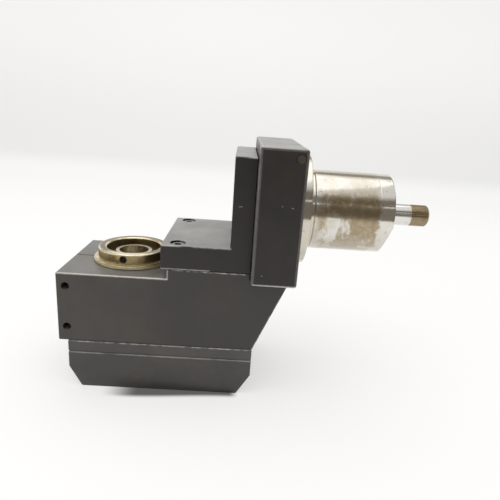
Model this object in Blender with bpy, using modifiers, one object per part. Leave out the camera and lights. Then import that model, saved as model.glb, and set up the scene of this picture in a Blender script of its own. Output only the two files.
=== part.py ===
# Right-angle driven tool holder with a round shank, an offset gear train and a split clamp head.
# The drive stub turns an input gear, an idler and a cross shaft; a bevel pair turns the tool spindle.
# Units are metres. X runs from the spindle head to the drive stub, Z is up, and Y = 0 is the middle.

import math

import bmesh
import bpy
from mathutils import Matrix, Vector

# Clearances
SEAT_GAP = 0.0003           # between two pieces that touch or fit each other
TOOTH_BACKLASH = 0.0004     # along the pitch circle, for each gear of a pair
POCKET_CLEARANCE = 0.0006   # between a gear's tips or faces and the wall of its pocket
CUT_OVERRUN = 0.002         # how far a cutter runs past the face that it opens

# Fineness of round pieces
SEEN_SEGMENTS = 36
HIDDEN_SEGMENTS = 18
SPINDLE_SEGMENTS = 24
POCKET_ARC_STEPS = 10
SCREW_SEGMENTS = 10
SMOOTH_ANGLE = math.radians(32)
EDGE_BREAK = 0.0006

# Lower cover, middle plate and housing block, stacked from the ground
BODY_WIDTH = 0.0844
COVER_HEIGHT = 0.0284
PLATE_THICKNESS = 0.0088
HOUSING_HEIGHT = 0.0525     # to the low top face, which carries the spindle head
HOUSING_STEP = 0.0070       # rise of the top face below the bracket
STEP_OFFSET = 0.0783        # from the housing's left end to that rise
HOUSING_BASE = 0.1425       # length of the housing's bottom face
HOUSING_SLOPE_REACH = 0.0234    # how far the right side leans out below the flange
COVER_SETBACK = 0.0065      # cover and plate start this far inside the housing's left end
COVER_CHAMFER_HEIGHT = 0.0159
COVER_LEFT_CHAMFER = 0.0089
COVER_RIGHT_CHAMFER = 0.0097

# Bracket that carries the flange
BRACKET_OVERHANG = 0.0046   # its foot reaches past the housing's step
BRACKET_FOOT = 0.0177
BRACKET_WALL = 0.0152
BRACKET_HEIGHT = 0.0815

# Flange with collar and shank, one forging
FLANGE_OFFSET = 0.1377      # from the housing's left end to the flange's left face
FLANGE_THICKNESS = 0.0315
FLANGE_WIDTH = 0.1108
FLANGE_HEIGHT = 0.0938
FLANGE_EDGE_ROUND = 0.0015
FLANGE_DROP = 0.0040        # the flange reaches this far below the housing's high top face
SHANK_RISE = 0.0454         # shank axis above the flange's bottom face
COLLAR_RADIUS = 0.0417
COLLAR_THICKNESS = 0.0074
SHANK_RADIUS = 0.0300
SHANK_LENGTH = 0.0687
SHANK_CHAMFER = 0.0010
UNDERCUT_LENGTH = 0.0036
UNDERCUT_DEPTH = 0.0007
END_FLAT_LENGTH = 0.0039    # oblique flat on the rim of the shank's end, measured along the shank
END_FLAT_DEPTH = 0.0086     # and inwards on its end face
END_FLAT_TURN = math.radians(39.6)  # from straight down towards the front
SHANK_BORE_RADIUS = 0.0132

# Drive stub
STUB_RADIUS = 0.0082
STUB_LENGTH = 0.0337
SERRATION_LENGTH = 0.0140
SERRATION_COUNT = 32
SERRATION_DEPTH = 0.0005
SERRATION_CUTTER = 1.6      # size of the groove cutter, in groove depths
STUB_CHAMFER = 0.0014

# Gear train
GEAR_MODULE = 0.0020
GEAR_WIDTH = 0.0080
PRESSURE_ANGLE = math.radians(20)
ADDENDUM = 0.95             # of the module
DEDENDUM = 1.20             # of the module
INPUT_TEETH = 18
IDLER_TEETH = 20
CROSS_TEETH = 18
BEVEL_MODULE = 0.0015
BEVEL_TEETH = 16
BEVEL_FACE = 0.0050         # tooth length along the cone
BEVEL_HUB_SHARE = 0.74      # of the pitch radius
PINION_CORE_SHARE = 0.60    # of the small end's pitch radius

# Shafts, given as the radius that carries bearings and gears
INPUT_SEAT_RADIUS = 0.0097
INPUT_GEAR_SEAT_RADIUS = 0.0080
INPUT_SHOULDER_RADIUS = 0.0112
CROSS_SEAT_RADIUS = 0.0072
CROSS_SHOULDER_RADIUS = 0.0095
IDLER_AXLE_RADIUS = 0.0050
IDLER_AXLE_GRIP = 0.0180
BUSH_WALL = 0.0020

# Ball bearings: outer radius and width; the bore follows the shaft
INPUT_BEARING = (0.0185, 0.0090)
CROSS_BEARING = (0.0160, 0.0090)
UPPER_BEARING = (0.0235, 0.0120)
LOWER_BEARING = (0.0120, 0.0060)
INPUT_BEARING_SETBACK = 0.0017  # with its retaining ring, from the flange's left face
CROSS_BEARING_LIP = 0.0010      # from the sleeve's bore to the left bearing
CROSS_POCKET_WALL = 0.0030      # between the right bearing and the gear pocket
RACE_SHARE = 0.20           # of the bearing's wall, for each race
BALL_COUNT = 8
BALL_SLACK = 0.0002
CAGE_SHARE = 0.16           # of the bearing's wall
CAGE_WIDTH_SHARE = 0.55     # of the bearing's width

# Spindle head
SPINDLE_OFFSET = 0.0460     # spindle axis from the housing's left end
SLEEVE_RADIUS = 0.0277
SLEEVE_RIM_RADIUS = 0.0302
SLEEVE_RIM_HEIGHT = 0.0030
SLEEVE_RIM_STEP = 0.0010
SLEEVE_BORE_RADIUS = 0.0210
SLEEVE_WINDOW_RADIUS = 0.0149
RING_RADIUS = 0.0268
RING_BORE_RADIUS = 0.0205
RING_HEIGHT = 0.0073
RING_CHAMFER = 0.0009
RING_SPIGOT = 0.0021
SPANNER_HOLE_RADIUS = 0.0024
SPANNER_HOLE_COUNT = 4
SPANNER_HOLE_ANGLE = math.radians(-94.5)
SPANNER_HOLE_SHARE = 0.70   # depth, of the ring's wall
SPINDLE_NOSE_RADIUS = 0.0140
SPINDLE_NOSE_HEIGHT = 0.0057    # nose above the upper bearing
SPINDLE_UPPER_RADIUS = 0.0122
SPINDLE_WAIST_RADIUS = 0.0072
SPINDLE_LOWER_RADIUS = 0.0057
SPINDLE_THREAD_RADIUS = 0.0050
SPINDLE_UPPER_TAIL = 0.0013     # upper seat below its bearing
COLLET_MOUTH_RADIUS = 0.01116
COLLET_DEPTH = 0.0150
COLLET_HALF_ANGLE = math.radians(8)
UPPER_BEARING_BELOW_TOP = 0.0108    # its bottom face below the housing's low top face
LOWER_BEARING_LIP = 0.0025      # plate left below the lower bearing
LOWER_BEARING_LIP_RADIUS = 0.0100
LOCK_NUT_RADIUS = 0.0090
LOCK_NUT_HEIGHT = 0.0080
LOCK_NUT_SLOTS = 4
LOCK_NUT_SLOT_WIDTH = 0.0030
LOCK_NUT_SLOT_DEPTH = 0.0014
NUT_POCKET_RADIUS = 0.0130
NUT_POCKET_DEPTH = 0.0110

# Split clamp at the housing's left end
SLIT_WIDTH = 0.0010
CLAMP_SCREW_OFFSET = 0.0065     # from the left end
CLAMP_SCREW_HEIGHTS = {"upper": 0.0425, "lower": 0.0110}    # above the housing's bottom face
CLAMP_HOLE_RADIUS = 0.0029
CLAMP_HEAD = (0.0040, 0.0048)
CLAMP_HEAD_WALL = 0.0006
CLAMP_THREAD_STOP = 0.0130      # screw ends this far inside the front face

# Socket screws: head radius and height, shank radius
SOCKET_HEAD = (0.0050, 0.0057)
SOCKET_RIM_SHARE = 0.12         # chamfer of the head, of its radius
SOCKET_SHANK_RADIUS = 0.0028
SOCKET_KEY_RADIUS = 0.0029
SOCKET_KEY_DEPTH = 0.0030
COUNTERBORE_WALL = 0.0005
SCREW_RECESS = 0.0003
TAP_SPARE = 0.0020
BRACKET_SCREW_OFFSET = 0.0065   # from the step to the bracket screws
BRACKET_SCREW_EDGE = 0.0082     # from the bracket's side to each screw
BRACKET_SCREW_LENGTH = 0.0280
COVER_SCREW_ENDS = (0.0155, 0.0175)     # from the plate's left and right end
COVER_SCREW_EDGE = 0.0092       # from the cover's side to each screw
COVER_SCREW_RECESS = 0.0040
COVER_SCREW_LENGTH = 0.0450
FLANGE_SCREW_SPREAD = 0.0350
FLANGE_SCREW_HEIGHTS = {"low": 0.0104, "high": 0.0785}      # above the flange's bottom face
FLANGE_SCREW_LENGTH = 0.0350
TURRET_BOLT_RADIUS = 0.0033
TURRET_BOLT_HEAD = (0.0055, 0.0070)
TURRET_BOLT_EDGE = 0.0069       # from the flange's side
TURRET_BOLT_HEIGHTS = (0.0104, 0.0834)

# Small closures
FACE_PLUG_RADIUS = 0.0029
FACE_PLUG_DEPTH = 0.0060
FACE_PLUG_FROM_RIGHT = 0.0051
FACE_PLUG_FROM_TOP = 0.0063
BORE_PLUG_RECESS = 0.0005       # below the housing's slanted side
BORE_PLUG_PULLER = (0.0025, 0.0080)     # blind hole that it is pulled out by: radius and depth
SHAFT_NUT_RADIUS = 0.0110
SHAFT_NUT_WIDTH = 0.0040
SHAFT_RING_WIDTH = 0.0014
SHAFT_RING_WALL = 0.0028
SHAFT_RING_GROOVE = 0.0007
BORE_RING_WIDTH = 0.0014
BORE_RING_WALL = 0.0034
BORE_RING_GROOVE = 0.0010
RING_GAP_WIDTH = 0.0050
SEAL_WIDTH = 0.0050
SEAL_SETBACK = 0.0012
SHANK_BUSH_WIDTH = 0.0098

# Places along X
TOTAL_LENGTH = FLANGE_OFFSET + FLANGE_THICKNESS + SHANK_LENGTH + STUB_LENGTH
HOUSING_LEFT = -TOTAL_LENGTH / 2
SPINDLE_X = HOUSING_LEFT + SPINDLE_OFFSET
STEP_X = HOUSING_LEFT + STEP_OFFSET
FLANGE_LEFT = HOUSING_LEFT + FLANGE_OFFSET
FLANGE_RIGHT = FLANGE_LEFT + FLANGE_THICKNESS
SHANK_END = FLANGE_RIGHT + SHANK_LENGTH
STUB_END = SHANK_END + STUB_LENGTH
COVER_LEFT = HOUSING_LEFT + COVER_SETBACK
COVER_RIGHT = HOUSING_LEFT + HOUSING_BASE
BRACKET_RIGHT = FLANGE_LEFT - SEAT_GAP
POCKET_RIGHT = BRACKET_RIGHT
GEAR_RIGHT = POCKET_RIGHT - POCKET_CLEARANCE
GEAR_LEFT = GEAR_RIGHT - GEAR_WIDTH
POCKET_LEFT = GEAR_LEFT - POCKET_CLEARANCE
BRACKET_SCREW_X = STEP_X + BRACKET_SCREW_OFFSET
COVER_SCREW_X = {"left": COVER_LEFT + COVER_SCREW_ENDS[0], "right": COVER_RIGHT - COVER_SCREW_ENDS[1]}
CLAMP_SCREW_X = HOUSING_LEFT + CLAMP_SCREW_OFFSET

# Heights
PLATE_BOTTOM = COVER_HEIGHT + SEAT_GAP
PLATE_TOP = PLATE_BOTTOM + PLATE_THICKNESS
HOUSING_BOTTOM = PLATE_TOP + SEAT_GAP
HOUSING_TOP = HOUSING_BOTTOM + HOUSING_HEIGHT
HOUSING_HIGH_TOP = HOUSING_TOP + HOUSING_STEP
BRACKET_BOTTOM = HOUSING_HIGH_TOP + SEAT_GAP
BRACKET_FOOT_TOP = BRACKET_BOTTOM + BRACKET_FOOT
FLANGE_BOTTOM = HOUSING_HIGH_TOP - FLANGE_DROP + SEAT_GAP
FLANGE_TOP = FLANGE_BOTTOM + FLANGE_HEIGHT
INPUT_Z = FLANGE_BOTTOM + SHANK_RISE
IDLER_Z = INPUT_Z - GEAR_MODULE * (INPUT_TEETH + IDLER_TEETH) / 2
CROSS_Z = IDLER_Z - GEAR_MODULE * (IDLER_TEETH + CROSS_TEETH) / 2
HALF_WIDTH = BODY_WIDTH / 2
HALF_FLANGE = FLANGE_WIDTH / 2

# Bearing places
INPUT_BEARING_RIGHT = FLANGE_LEFT + INPUT_BEARING_SETBACK + BORE_RING_WIDTH + INPUT_BEARING[1]
CROSS_LEFT_BEARING = SPINDLE_X + SLEEVE_RADIUS + SEAT_GAP + CROSS_BEARING_LIP
CROSS_RIGHT_BEARING = POCKET_LEFT - CROSS_POCKET_WALL - CROSS_BEARING[1]
UPPER_BEARING_BOTTOM = HOUSING_TOP - UPPER_BEARING_BELOW_TOP
UPPER_BEARING_TOP = UPPER_BEARING_BOTTOM + UPPER_BEARING[1]
LOWER_BEARING_BOTTOM = PLATE_BOTTOM + LOWER_BEARING_LIP + SEAT_GAP
LOWER_BEARING_TOP = LOWER_BEARING_BOTTOM + LOWER_BEARING[1]
BEVEL_REACH = BEVEL_MODULE * BEVEL_TEETH / 2
BEVEL_CONE = BEVEL_REACH * math.sqrt(2)
BEVEL_SMALL = 1 - BEVEL_FACE / BEVEL_CONE

# Places of the small closures
SHAFT_RING_LEFT = GEAR_LEFT - SEAT_GAP - SHAFT_RING_WIDTH
INPUT_SHAFT_LEFT = SHAFT_RING_LEFT - SHAFT_RING_WIDTH
BORE_RING_LEFT = INPUT_BEARING_RIGHT - INPUT_BEARING[1] - SEAT_GAP - BORE_RING_WIDTH
SHANK_BUSH_LEFT = SHANK_END - SEAL_SETBACK - SEAL_WIDTH - 2 * SEAT_GAP - SHANK_BUSH_WIDTH
CROSS_SHAFT_END = GEAR_RIGHT + SEAT_GAP + SHAFT_NUT_WIDTH + SEAT_GAP
BORE_PLUG_LEFT = CROSS_SHAFT_END + 2 * POCKET_CLEARANCE
SLOPE_BOTTOM = Vector((COVER_RIGHT, 0.0, HOUSING_BOTTOM))
SLOPE_TOP = Vector((COVER_RIGHT + HOUSING_SLOPE_REACH, 0.0, FLANGE_BOTTOM - SEAT_GAP))
BRACKET_SCREW_SPREAD = HALF_WIDTH - BRACKET_SCREW_EDGE
COVER_SCREW_SPREAD = HALF_WIDTH - COVER_SCREW_EDGE

# Finishes: base colour, roughness and metallic value
BLACKENED_STEEL = ((0.075, 0.072, 0.068), 0.45, 0.6)
GROUND_STEEL = ((0.56, 0.53, 0.48), 0.28, 1.0)
BRASS_TONED_STEEL = ((0.30, 0.25, 0.15), 0.38, 1.0)
BEARING_STEEL = ((0.62, 0.61, 0.58), 0.22, 1.0)
GEAR_STEEL = ((0.33, 0.32, 0.31), 0.35, 1.0)
BRONZE = ((0.50, 0.32, 0.14), 0.40, 1.0)
SCREW_BLACK = ((0.055, 0.054, 0.052), 0.40, 0.7)
SEAL_RUBBER = ((0.03, 0.03, 0.03), 0.70, 0.0)

# Turns a piece's own Z axis to the named world direction
FACING = {
    "+X": (0.0, math.pi / 2, 0.0),
    "-X": (0.0, -math.pi / 2, 0.0),
    "+Y": (-math.pi / 2, 0.0, 0.0),
    "-Y": (math.pi / 2, 0.0, 0.0),
    "+Z": (0.0, 0.0, 0.0),
    "-Z": (math.pi, 0.0, 0.0),
}


def clear_scene():
    for existing in list(bpy.data.objects):
        bpy.data.objects.remove(existing, do_unlink=True)


def new_collection(name):
    collection = bpy.data.collections.new(name)
    bpy.context.scene.collection.children.link(collection)
    return collection


def new_object(name, mesh, collection):
    piece = bpy.data.objects.new(name, mesh)
    collection.objects.link(piece)
    if collection is CUTTERS:
        piece.hide_render = True
        piece.display_type = 'WIRE'
    return piece


def finish(piece, look):
    """Give a piece its own material."""
    colour, roughness, metallic = look
    material = bpy.data.materials.new(piece.name)
    material.use_nodes = True
    shader = material.node_tree.nodes["Principled BSDF"]
    shader.inputs["Base Color"].default_value = (*colour, 1.0)
    shader.inputs["Roughness"].default_value = roughness
    shader.inputs["Metallic"].default_value = metallic
    material.diffuse_color = (*colour, 1.0)
    piece.data.materials.append(material)
    return piece


def box(name, low, high, collection):
    """A block between two corners."""
    shape = bmesh.new()
    bmesh.ops.create_cube(shape, size=1.0)
    bmesh.ops.scale(shape, vec=Vector(high) - Vector(low), verts=shape.verts)
    mesh = bpy.data.meshes.new(name)
    shape.to_mesh(mesh)
    shape.free()
    piece = new_object(name, mesh, collection)
    piece.location = (Vector(low) + Vector(high)) / 2
    return piece


def half_space(name, place, turn):
    """A large block that cuts away all on the +X side of a plane through its own origin."""
    reach = 2 * SHANK_RADIUS
    block = box(name, (0.0, -reach, -reach), (reach, reach, reach), CUTTERS)
    block.matrix_world = Matrix.Translation(place) @ turn @ Matrix.Translation((reach / 2, 0.0, 0.0))
    return block


def turned(name, profile, centre, facing, collection, segments=HIDDEN_SEGMENTS, ring=False):
    """A profile of (radius, height) points, outer side downwards, turned about the piece's Z axis."""
    points = [(radius, 0.0, height) for radius, height in profile]
    edges = [(index, index + 1) for index in range(len(points) - 1)]
    if ring:
        edges.append((len(points) - 1, 0))
    mesh = bpy.data.meshes.new(name)
    mesh.from_pydata(points, edges, [])
    piece = new_object(name, mesh, collection)
    piece.location = centre
    piece.rotation_euler = FACING[facing]
    turn = piece.modifiers.new("Turn", 'SCREW')
    turn.axis = 'Z'
    turn.angle = 2 * math.pi
    turn.steps = segments
    turn.render_steps = segments
    turn.use_merge_vertices = True
    turn.merge_threshold = 0.00001
    turn.use_smooth_shade = True
    return piece


def ring_profile(inner, outer, low, high, chamfer=0.0):
    """Section of a plain ring, with its two outer corners chamfered if asked."""
    if chamfer == 0.0:
        return [(outer, high), (outer, low), (inner, low), (inner, high)]
    return [(outer - chamfer, high), (outer, high - chamfer), (outer, low + chamfer),
            (outer - chamfer, low), (inner, low), (inner, high)]


def outline_solid(name, outline, thickness, centre, facing, collection):
    """A flat outline, drawn in the piece's XY plane, with a thickness along its Z axis."""
    curve = bpy.data.curves.new(name, 'CURVE')
    curve.dimensions = '2D'
    curve.fill_mode = 'BOTH'
    curve.extrude = thickness / 2
    line = curve.splines.new('POLY')
    line.points.add(len(outline) - 1)
    for point, (across, along) in zip(line.points, outline):
        point.co = (across, along, 0.0, 1.0)
    line.use_cyclic_u = True
    drawing = new_object(name, curve, collection)
    drawn = drawing.evaluated_get(bpy.context.evaluated_depsgraph_get())
    mesh = bpy.data.meshes.new_from_object(drawn)
    bpy.data.objects.remove(drawing)
    bpy.data.curves.remove(curve)
    shape = bmesh.new()
    shape.from_mesh(mesh)
    bmesh.ops.remove_doubles(shape, verts=shape.verts, dist=0.000001)
    bmesh.ops.recalc_face_normals(shape, faces=shape.faces)
    shape.to_mesh(mesh)
    shape.free()
    mesh.name = name
    piece = new_object(name, mesh, collection)
    piece.location = centre
    piece.rotation_euler = FACING[facing]
    return piece


def side_outline(name, points, width, collection):
    """An outline of (x, z) points given a width along Y, centred on Y = 0."""
    return outline_solid(name, points, width, (0.0, 0.0, 0.0), "-Y", collection)


def bevel(piece, width, segments=1):
    edge = piece.modifiers.new("Edges", 'BEVEL')
    edge.width = width
    edge.segments = segments
    edge.limit_method = 'ANGLE'
    edge.angle_limit = SMOOTH_ANGLE
    return piece


def combine(piece, other, operation):
    joint = piece.modifiers.new(other.name, 'BOOLEAN')
    joint.operation = operation
    joint.solver = 'EXACT'
    joint.object = other
    return piece


def cut(piece, *tools):
    for tool in tools:
        combine(piece, tool, 'DIFFERENCE')
    return piece


def drill(name, centre, facing, steps, segments=SCREW_SEGMENTS):
    """A stepped drill whose mouth is at centre: steps are (radius, depth) from the mouth inwards."""
    mouth_radius = steps[0][0]
    profile = [(0.0, CUT_OVERRUN), (mouth_radius, CUT_OVERRUN)]
    for index, (radius, depth) in enumerate(steps):
        profile.append((radius, -depth))
        if index + 1 < len(steps):
            profile.append((steps[index + 1][0], -depth))
    profile.append((0.0, -steps[-1][1]))
    return turned(name, profile, centre, facing, CUTTERS, segments)


def socket_screw(name, head, shank_radius, length, centre, facing):
    """A cap screw with a hexagon socket: centre is the middle of its head's top face."""
    head_radius, head_height = head
    rim = head_radius * SOCKET_RIM_SHARE
    profile = [(0.0, 0.0), (head_radius - rim, 0.0), (head_radius, -rim), (head_radius, -head_height),
               (shank_radius, -head_height), (shank_radius, -head_height - length),
               (0.0, -head_height - length)]
    screw = turned(name, profile, centre, facing, PARTS, SCREW_SEGMENTS)
    key = turned(name + "_socket", [(0.0, CUT_OVERRUN), (SOCKET_KEY_RADIUS, CUT_OVERRUN),
                                    (SOCKET_KEY_RADIUS, -SOCKET_KEY_DEPTH), (0.0, -SOCKET_KEY_DEPTH)],
                 centre, facing, CUTTERS, segments=6)
    cut(screw, key)
    return finish(screw, SCREW_BLACK)


def involute(angle):
    return math.tan(angle) - angle


def tooth_half_angle(radius, pitch_radius, teeth, backlash):
    """Half the angle that a tooth takes up at a radius, for involute flanks."""
    base_radius = pitch_radius * math.cos(PRESSURE_ANGLE)
    at_pitch = math.pi / (2 * teeth) - backlash / (2 * pitch_radius)
    slope = math.acos(min(1.0, base_radius / radius))
    return at_pitch + involute(PRESSURE_ANGLE) - involute(slope)


def tooth_ring(teeth, flank, phase):
    """Closed outline from a flank of (radius, half angle) points, root first."""
    outline = []
    for tooth in range(teeth):
        middle = phase + 2 * math.pi * tooth / teeth
        for radius, half in flank:
            outline.append((radius * math.cos(middle - half), radius * math.sin(middle - half)))
        for radius, half in reversed(flank):
            outline.append((radius * math.cos(middle + half), radius * math.sin(middle + half)))
    return outline


def spur_outline(teeth, space_first):
    pitch_radius = GEAR_MODULE * teeth / 2
    root_radius = pitch_radius - DEDENDUM * GEAR_MODULE
    tip_radius = pitch_radius + ADDENDUM * GEAR_MODULE
    base_radius = pitch_radius * math.cos(PRESSURE_ANGLE)
    at_base = tooth_half_angle(base_radius, pitch_radius, teeth, TOOTH_BACKLASH)
    flank = [(root_radius, at_base)]
    for radius in (pitch_radius, tip_radius):
        flank.append((radius, tooth_half_angle(radius, pitch_radius, teeth, TOOTH_BACKLASH)))
    phase = math.pi / teeth if space_first else 0.0
    return tooth_ring(teeth, flank, phase)


def bevel_outline(space_first):
    """Teeth of a 45 degree bevel gear, in the plane where its pitch circle lies."""
    slope = math.pi / 4
    back_radius = BEVEL_REACH / math.cos(slope)
    back_teeth = BEVEL_TEETH / math.cos(slope)
    base_radius = back_radius * math.cos(PRESSURE_ANGLE)
    levels = (back_radius - DEDENDUM * BEVEL_MODULE, back_radius, back_radius + ADDENDUM * BEVEL_MODULE)
    flank = []
    for radius in levels:
        half = tooth_half_angle(max(radius, base_radius), back_radius, back_teeth, TOOTH_BACKLASH)
        from_axis = BEVEL_REACH + (radius - back_radius) * math.cos(slope)
        from_apex = BEVEL_REACH - (radius - back_radius) * math.sin(slope)
        flank.append((BEVEL_REACH * from_axis / from_apex, radius * half / from_axis))
    phase = math.pi / BEVEL_TEETH if space_first else 0.0
    return tooth_ring(BEVEL_TEETH, flank, phase)


def bevel_teeth(name, apex, facing, space_first, collection):
    """Bevel teeth whose cone comes to its point at the apex; the large end is on the facing side."""
    teeth = outline_solid(name, bevel_outline(space_first), 2 * SEAT_GAP, apex, facing, collection)
    small = BEVEL_SMALL
    for vertex in teeth.data.vertices:
        if vertex.co.z < 0:
            vertex.co = (vertex.co.x * small, vertex.co.y * small, BEVEL_REACH * small)
        else:
            vertex.co.z = BEVEL_REACH
    return teeth


def ball_bearing(name, shaft_radius, size, centre, facing):
    """Outer race, inner race and caged balls; centre is the middle of the bearing's back face."""
    outer_radius, width = size
    bore_radius = shaft_radius + SEAT_GAP
    wall = outer_radius - bore_radius
    inner_top = bore_radius + RACE_SHARE * wall
    outer_bottom = outer_radius - RACE_SHARE * wall
    outer_flat = outer_bottom * math.cos(math.pi / HIDDEN_SEGMENTS)
    middle_radius = (inner_top + outer_flat) / 2
    ball_radius = (outer_flat - inner_top) / 2 - BALL_SLACK
    outer_race = turned(name + "_outer_race", ring_profile(outer_bottom, outer_radius, 0.0, width),
                        centre, facing, PARTS, ring=True)
    inner_race = turned(name + "_inner_race", ring_profile(bore_radius, inner_top, 0.0, width),
                        centre, facing, PARTS, ring=True)
    half_wall = CAGE_SHARE * wall / 2
    half_width = CAGE_WIDTH_SHARE * width / 2
    cage_section = ring_profile(middle_radius - half_wall, middle_radius + half_wall,
                                width / 2 - half_width, width / 2 + half_width)
    cage = turned(name + "_ball_cage", cage_section, centre, facing, PARTS, ring=True)
    shape = bmesh.new()
    for index in range(BALL_COUNT):
        angle = 2 * math.pi * (index + 0.5) / BALL_COUNT
        place = Vector((middle_radius * math.cos(angle), middle_radius * math.sin(angle), width / 2))
        bmesh.ops.create_uvsphere(shape, u_segments=6, v_segments=4, radius=ball_radius,
                                  matrix=Matrix.Translation(place))
    mesh = bpy.data.meshes.new(name + "_balls")
    shape.to_mesh(mesh)
    shape.free()
    balls = new_object(name + "_balls", mesh, CUTTERS)
    balls.location = centre
    balls.rotation_euler = FACING[facing]
    combine(cage, balls, 'UNION')
    for piece in (outer_race, inner_race, cage):
        finish(piece, BEARING_STEEL)


def gear_pocket(name, arc_z, arc_radius, straight):
    """A cutter round one gear, across its width, with straight sides through (y, z) points to the next."""
    upwards = straight[0][1] > arc_z
    outline = []
    for step in range(POCKET_ARC_STEPS + 1):
        angle = math.pi * step / POCKET_ARC_STEPS
        rise = arc_radius * math.sin(angle)
        height = arc_z - rise if upwards else arc_z + rise
        outline.append((-height, -arc_radius * math.cos(angle)))
    for across, height in straight:
        outline.append((-height, across))
    for across, height in reversed(straight):
        outline.append((-height, -across))
    centre = ((POCKET_LEFT + POCKET_RIGHT + CUT_OVERRUN) / 2, 0.0, 0.0)
    return outline_solid(name, outline, POCKET_RIGHT + CUT_OVERRUN - POCKET_LEFT, centre, "+X", CUTTERS)


def spur_tip_radius(teeth):
    return GEAR_MODULE * (teeth / 2 + ADDENDUM)


def screw_places(spread):
    return {"front": -spread, "back": spread}


def build_lower_cover():
    outline = [
        (COVER_LEFT, COVER_HEIGHT),
        (COVER_LEFT, COVER_CHAMFER_HEIGHT),
        (COVER_LEFT + COVER_LEFT_CHAMFER, 0.0),
        (COVER_RIGHT - COVER_RIGHT_CHAMFER, 0.0),
        (COVER_RIGHT, COVER_CHAMFER_HEIGHT),
        (COVER_RIGHT, COVER_HEIGHT),
    ]
    cover = bevel(side_outline("lower_cover", outline, BODY_WIDTH, PARTS), EDGE_BREAK)
    cut(cover, drill("nut_pocket", (SPINDLE_X, 0.0, COVER_HEIGHT), "+Z",
                     [(NUT_POCKET_RADIUS, NUT_POCKET_DEPTH)], HIDDEN_SEGMENTS))
    head_radius, head_height = SOCKET_HEAD
    for end, x in COVER_SCREW_X.items():
        for side, y in screw_places(COVER_SCREW_SPREAD).items():
            steps = [(head_radius + COUNTERBORE_WALL, COVER_SCREW_RECESS + head_height + SEAT_GAP),
                     (SOCKET_SHANK_RADIUS + SEAT_GAP, COVER_HEIGHT + CUT_OVERRUN)]
            cut(cover, drill(f"cover_hole_{end}_{side}", (x, y, 0.0), "-Z", steps))
    return finish(cover, BLACKENED_STEEL)


def build_middle_plate():
    plate = box("middle_plate", (COVER_LEFT, -HALF_WIDTH, PLATE_BOTTOM),
                (COVER_RIGHT, HALF_WIDTH, PLATE_TOP), PARTS)
    bevel(plate, EDGE_BREAK)
    bearing_seat = [(LOWER_BEARING[0] + SEAT_GAP, PLATE_TOP - LOWER_BEARING_BOTTOM + SEAT_GAP),
                    (LOWER_BEARING_LIP_RADIUS, PLATE_THICKNESS + CUT_OVERRUN)]
    cut(plate, drill("lower_bearing_seat", (SPINDLE_X, 0.0, PLATE_TOP), "+Z", bearing_seat,
                     HIDDEN_SEGMENTS))
    for end, x in COVER_SCREW_X.items():
        for side, y in screw_places(COVER_SCREW_SPREAD).items():
            steps = [(SOCKET_SHANK_RADIUS + SEAT_GAP, PLATE_THICKNESS + CUT_OVERRUN)]
            cut(plate, drill(f"plate_hole_{end}_{side}", (x, y, PLATE_TOP), "+Z", steps))
    return finish(plate, BLACKENED_STEEL)


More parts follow.
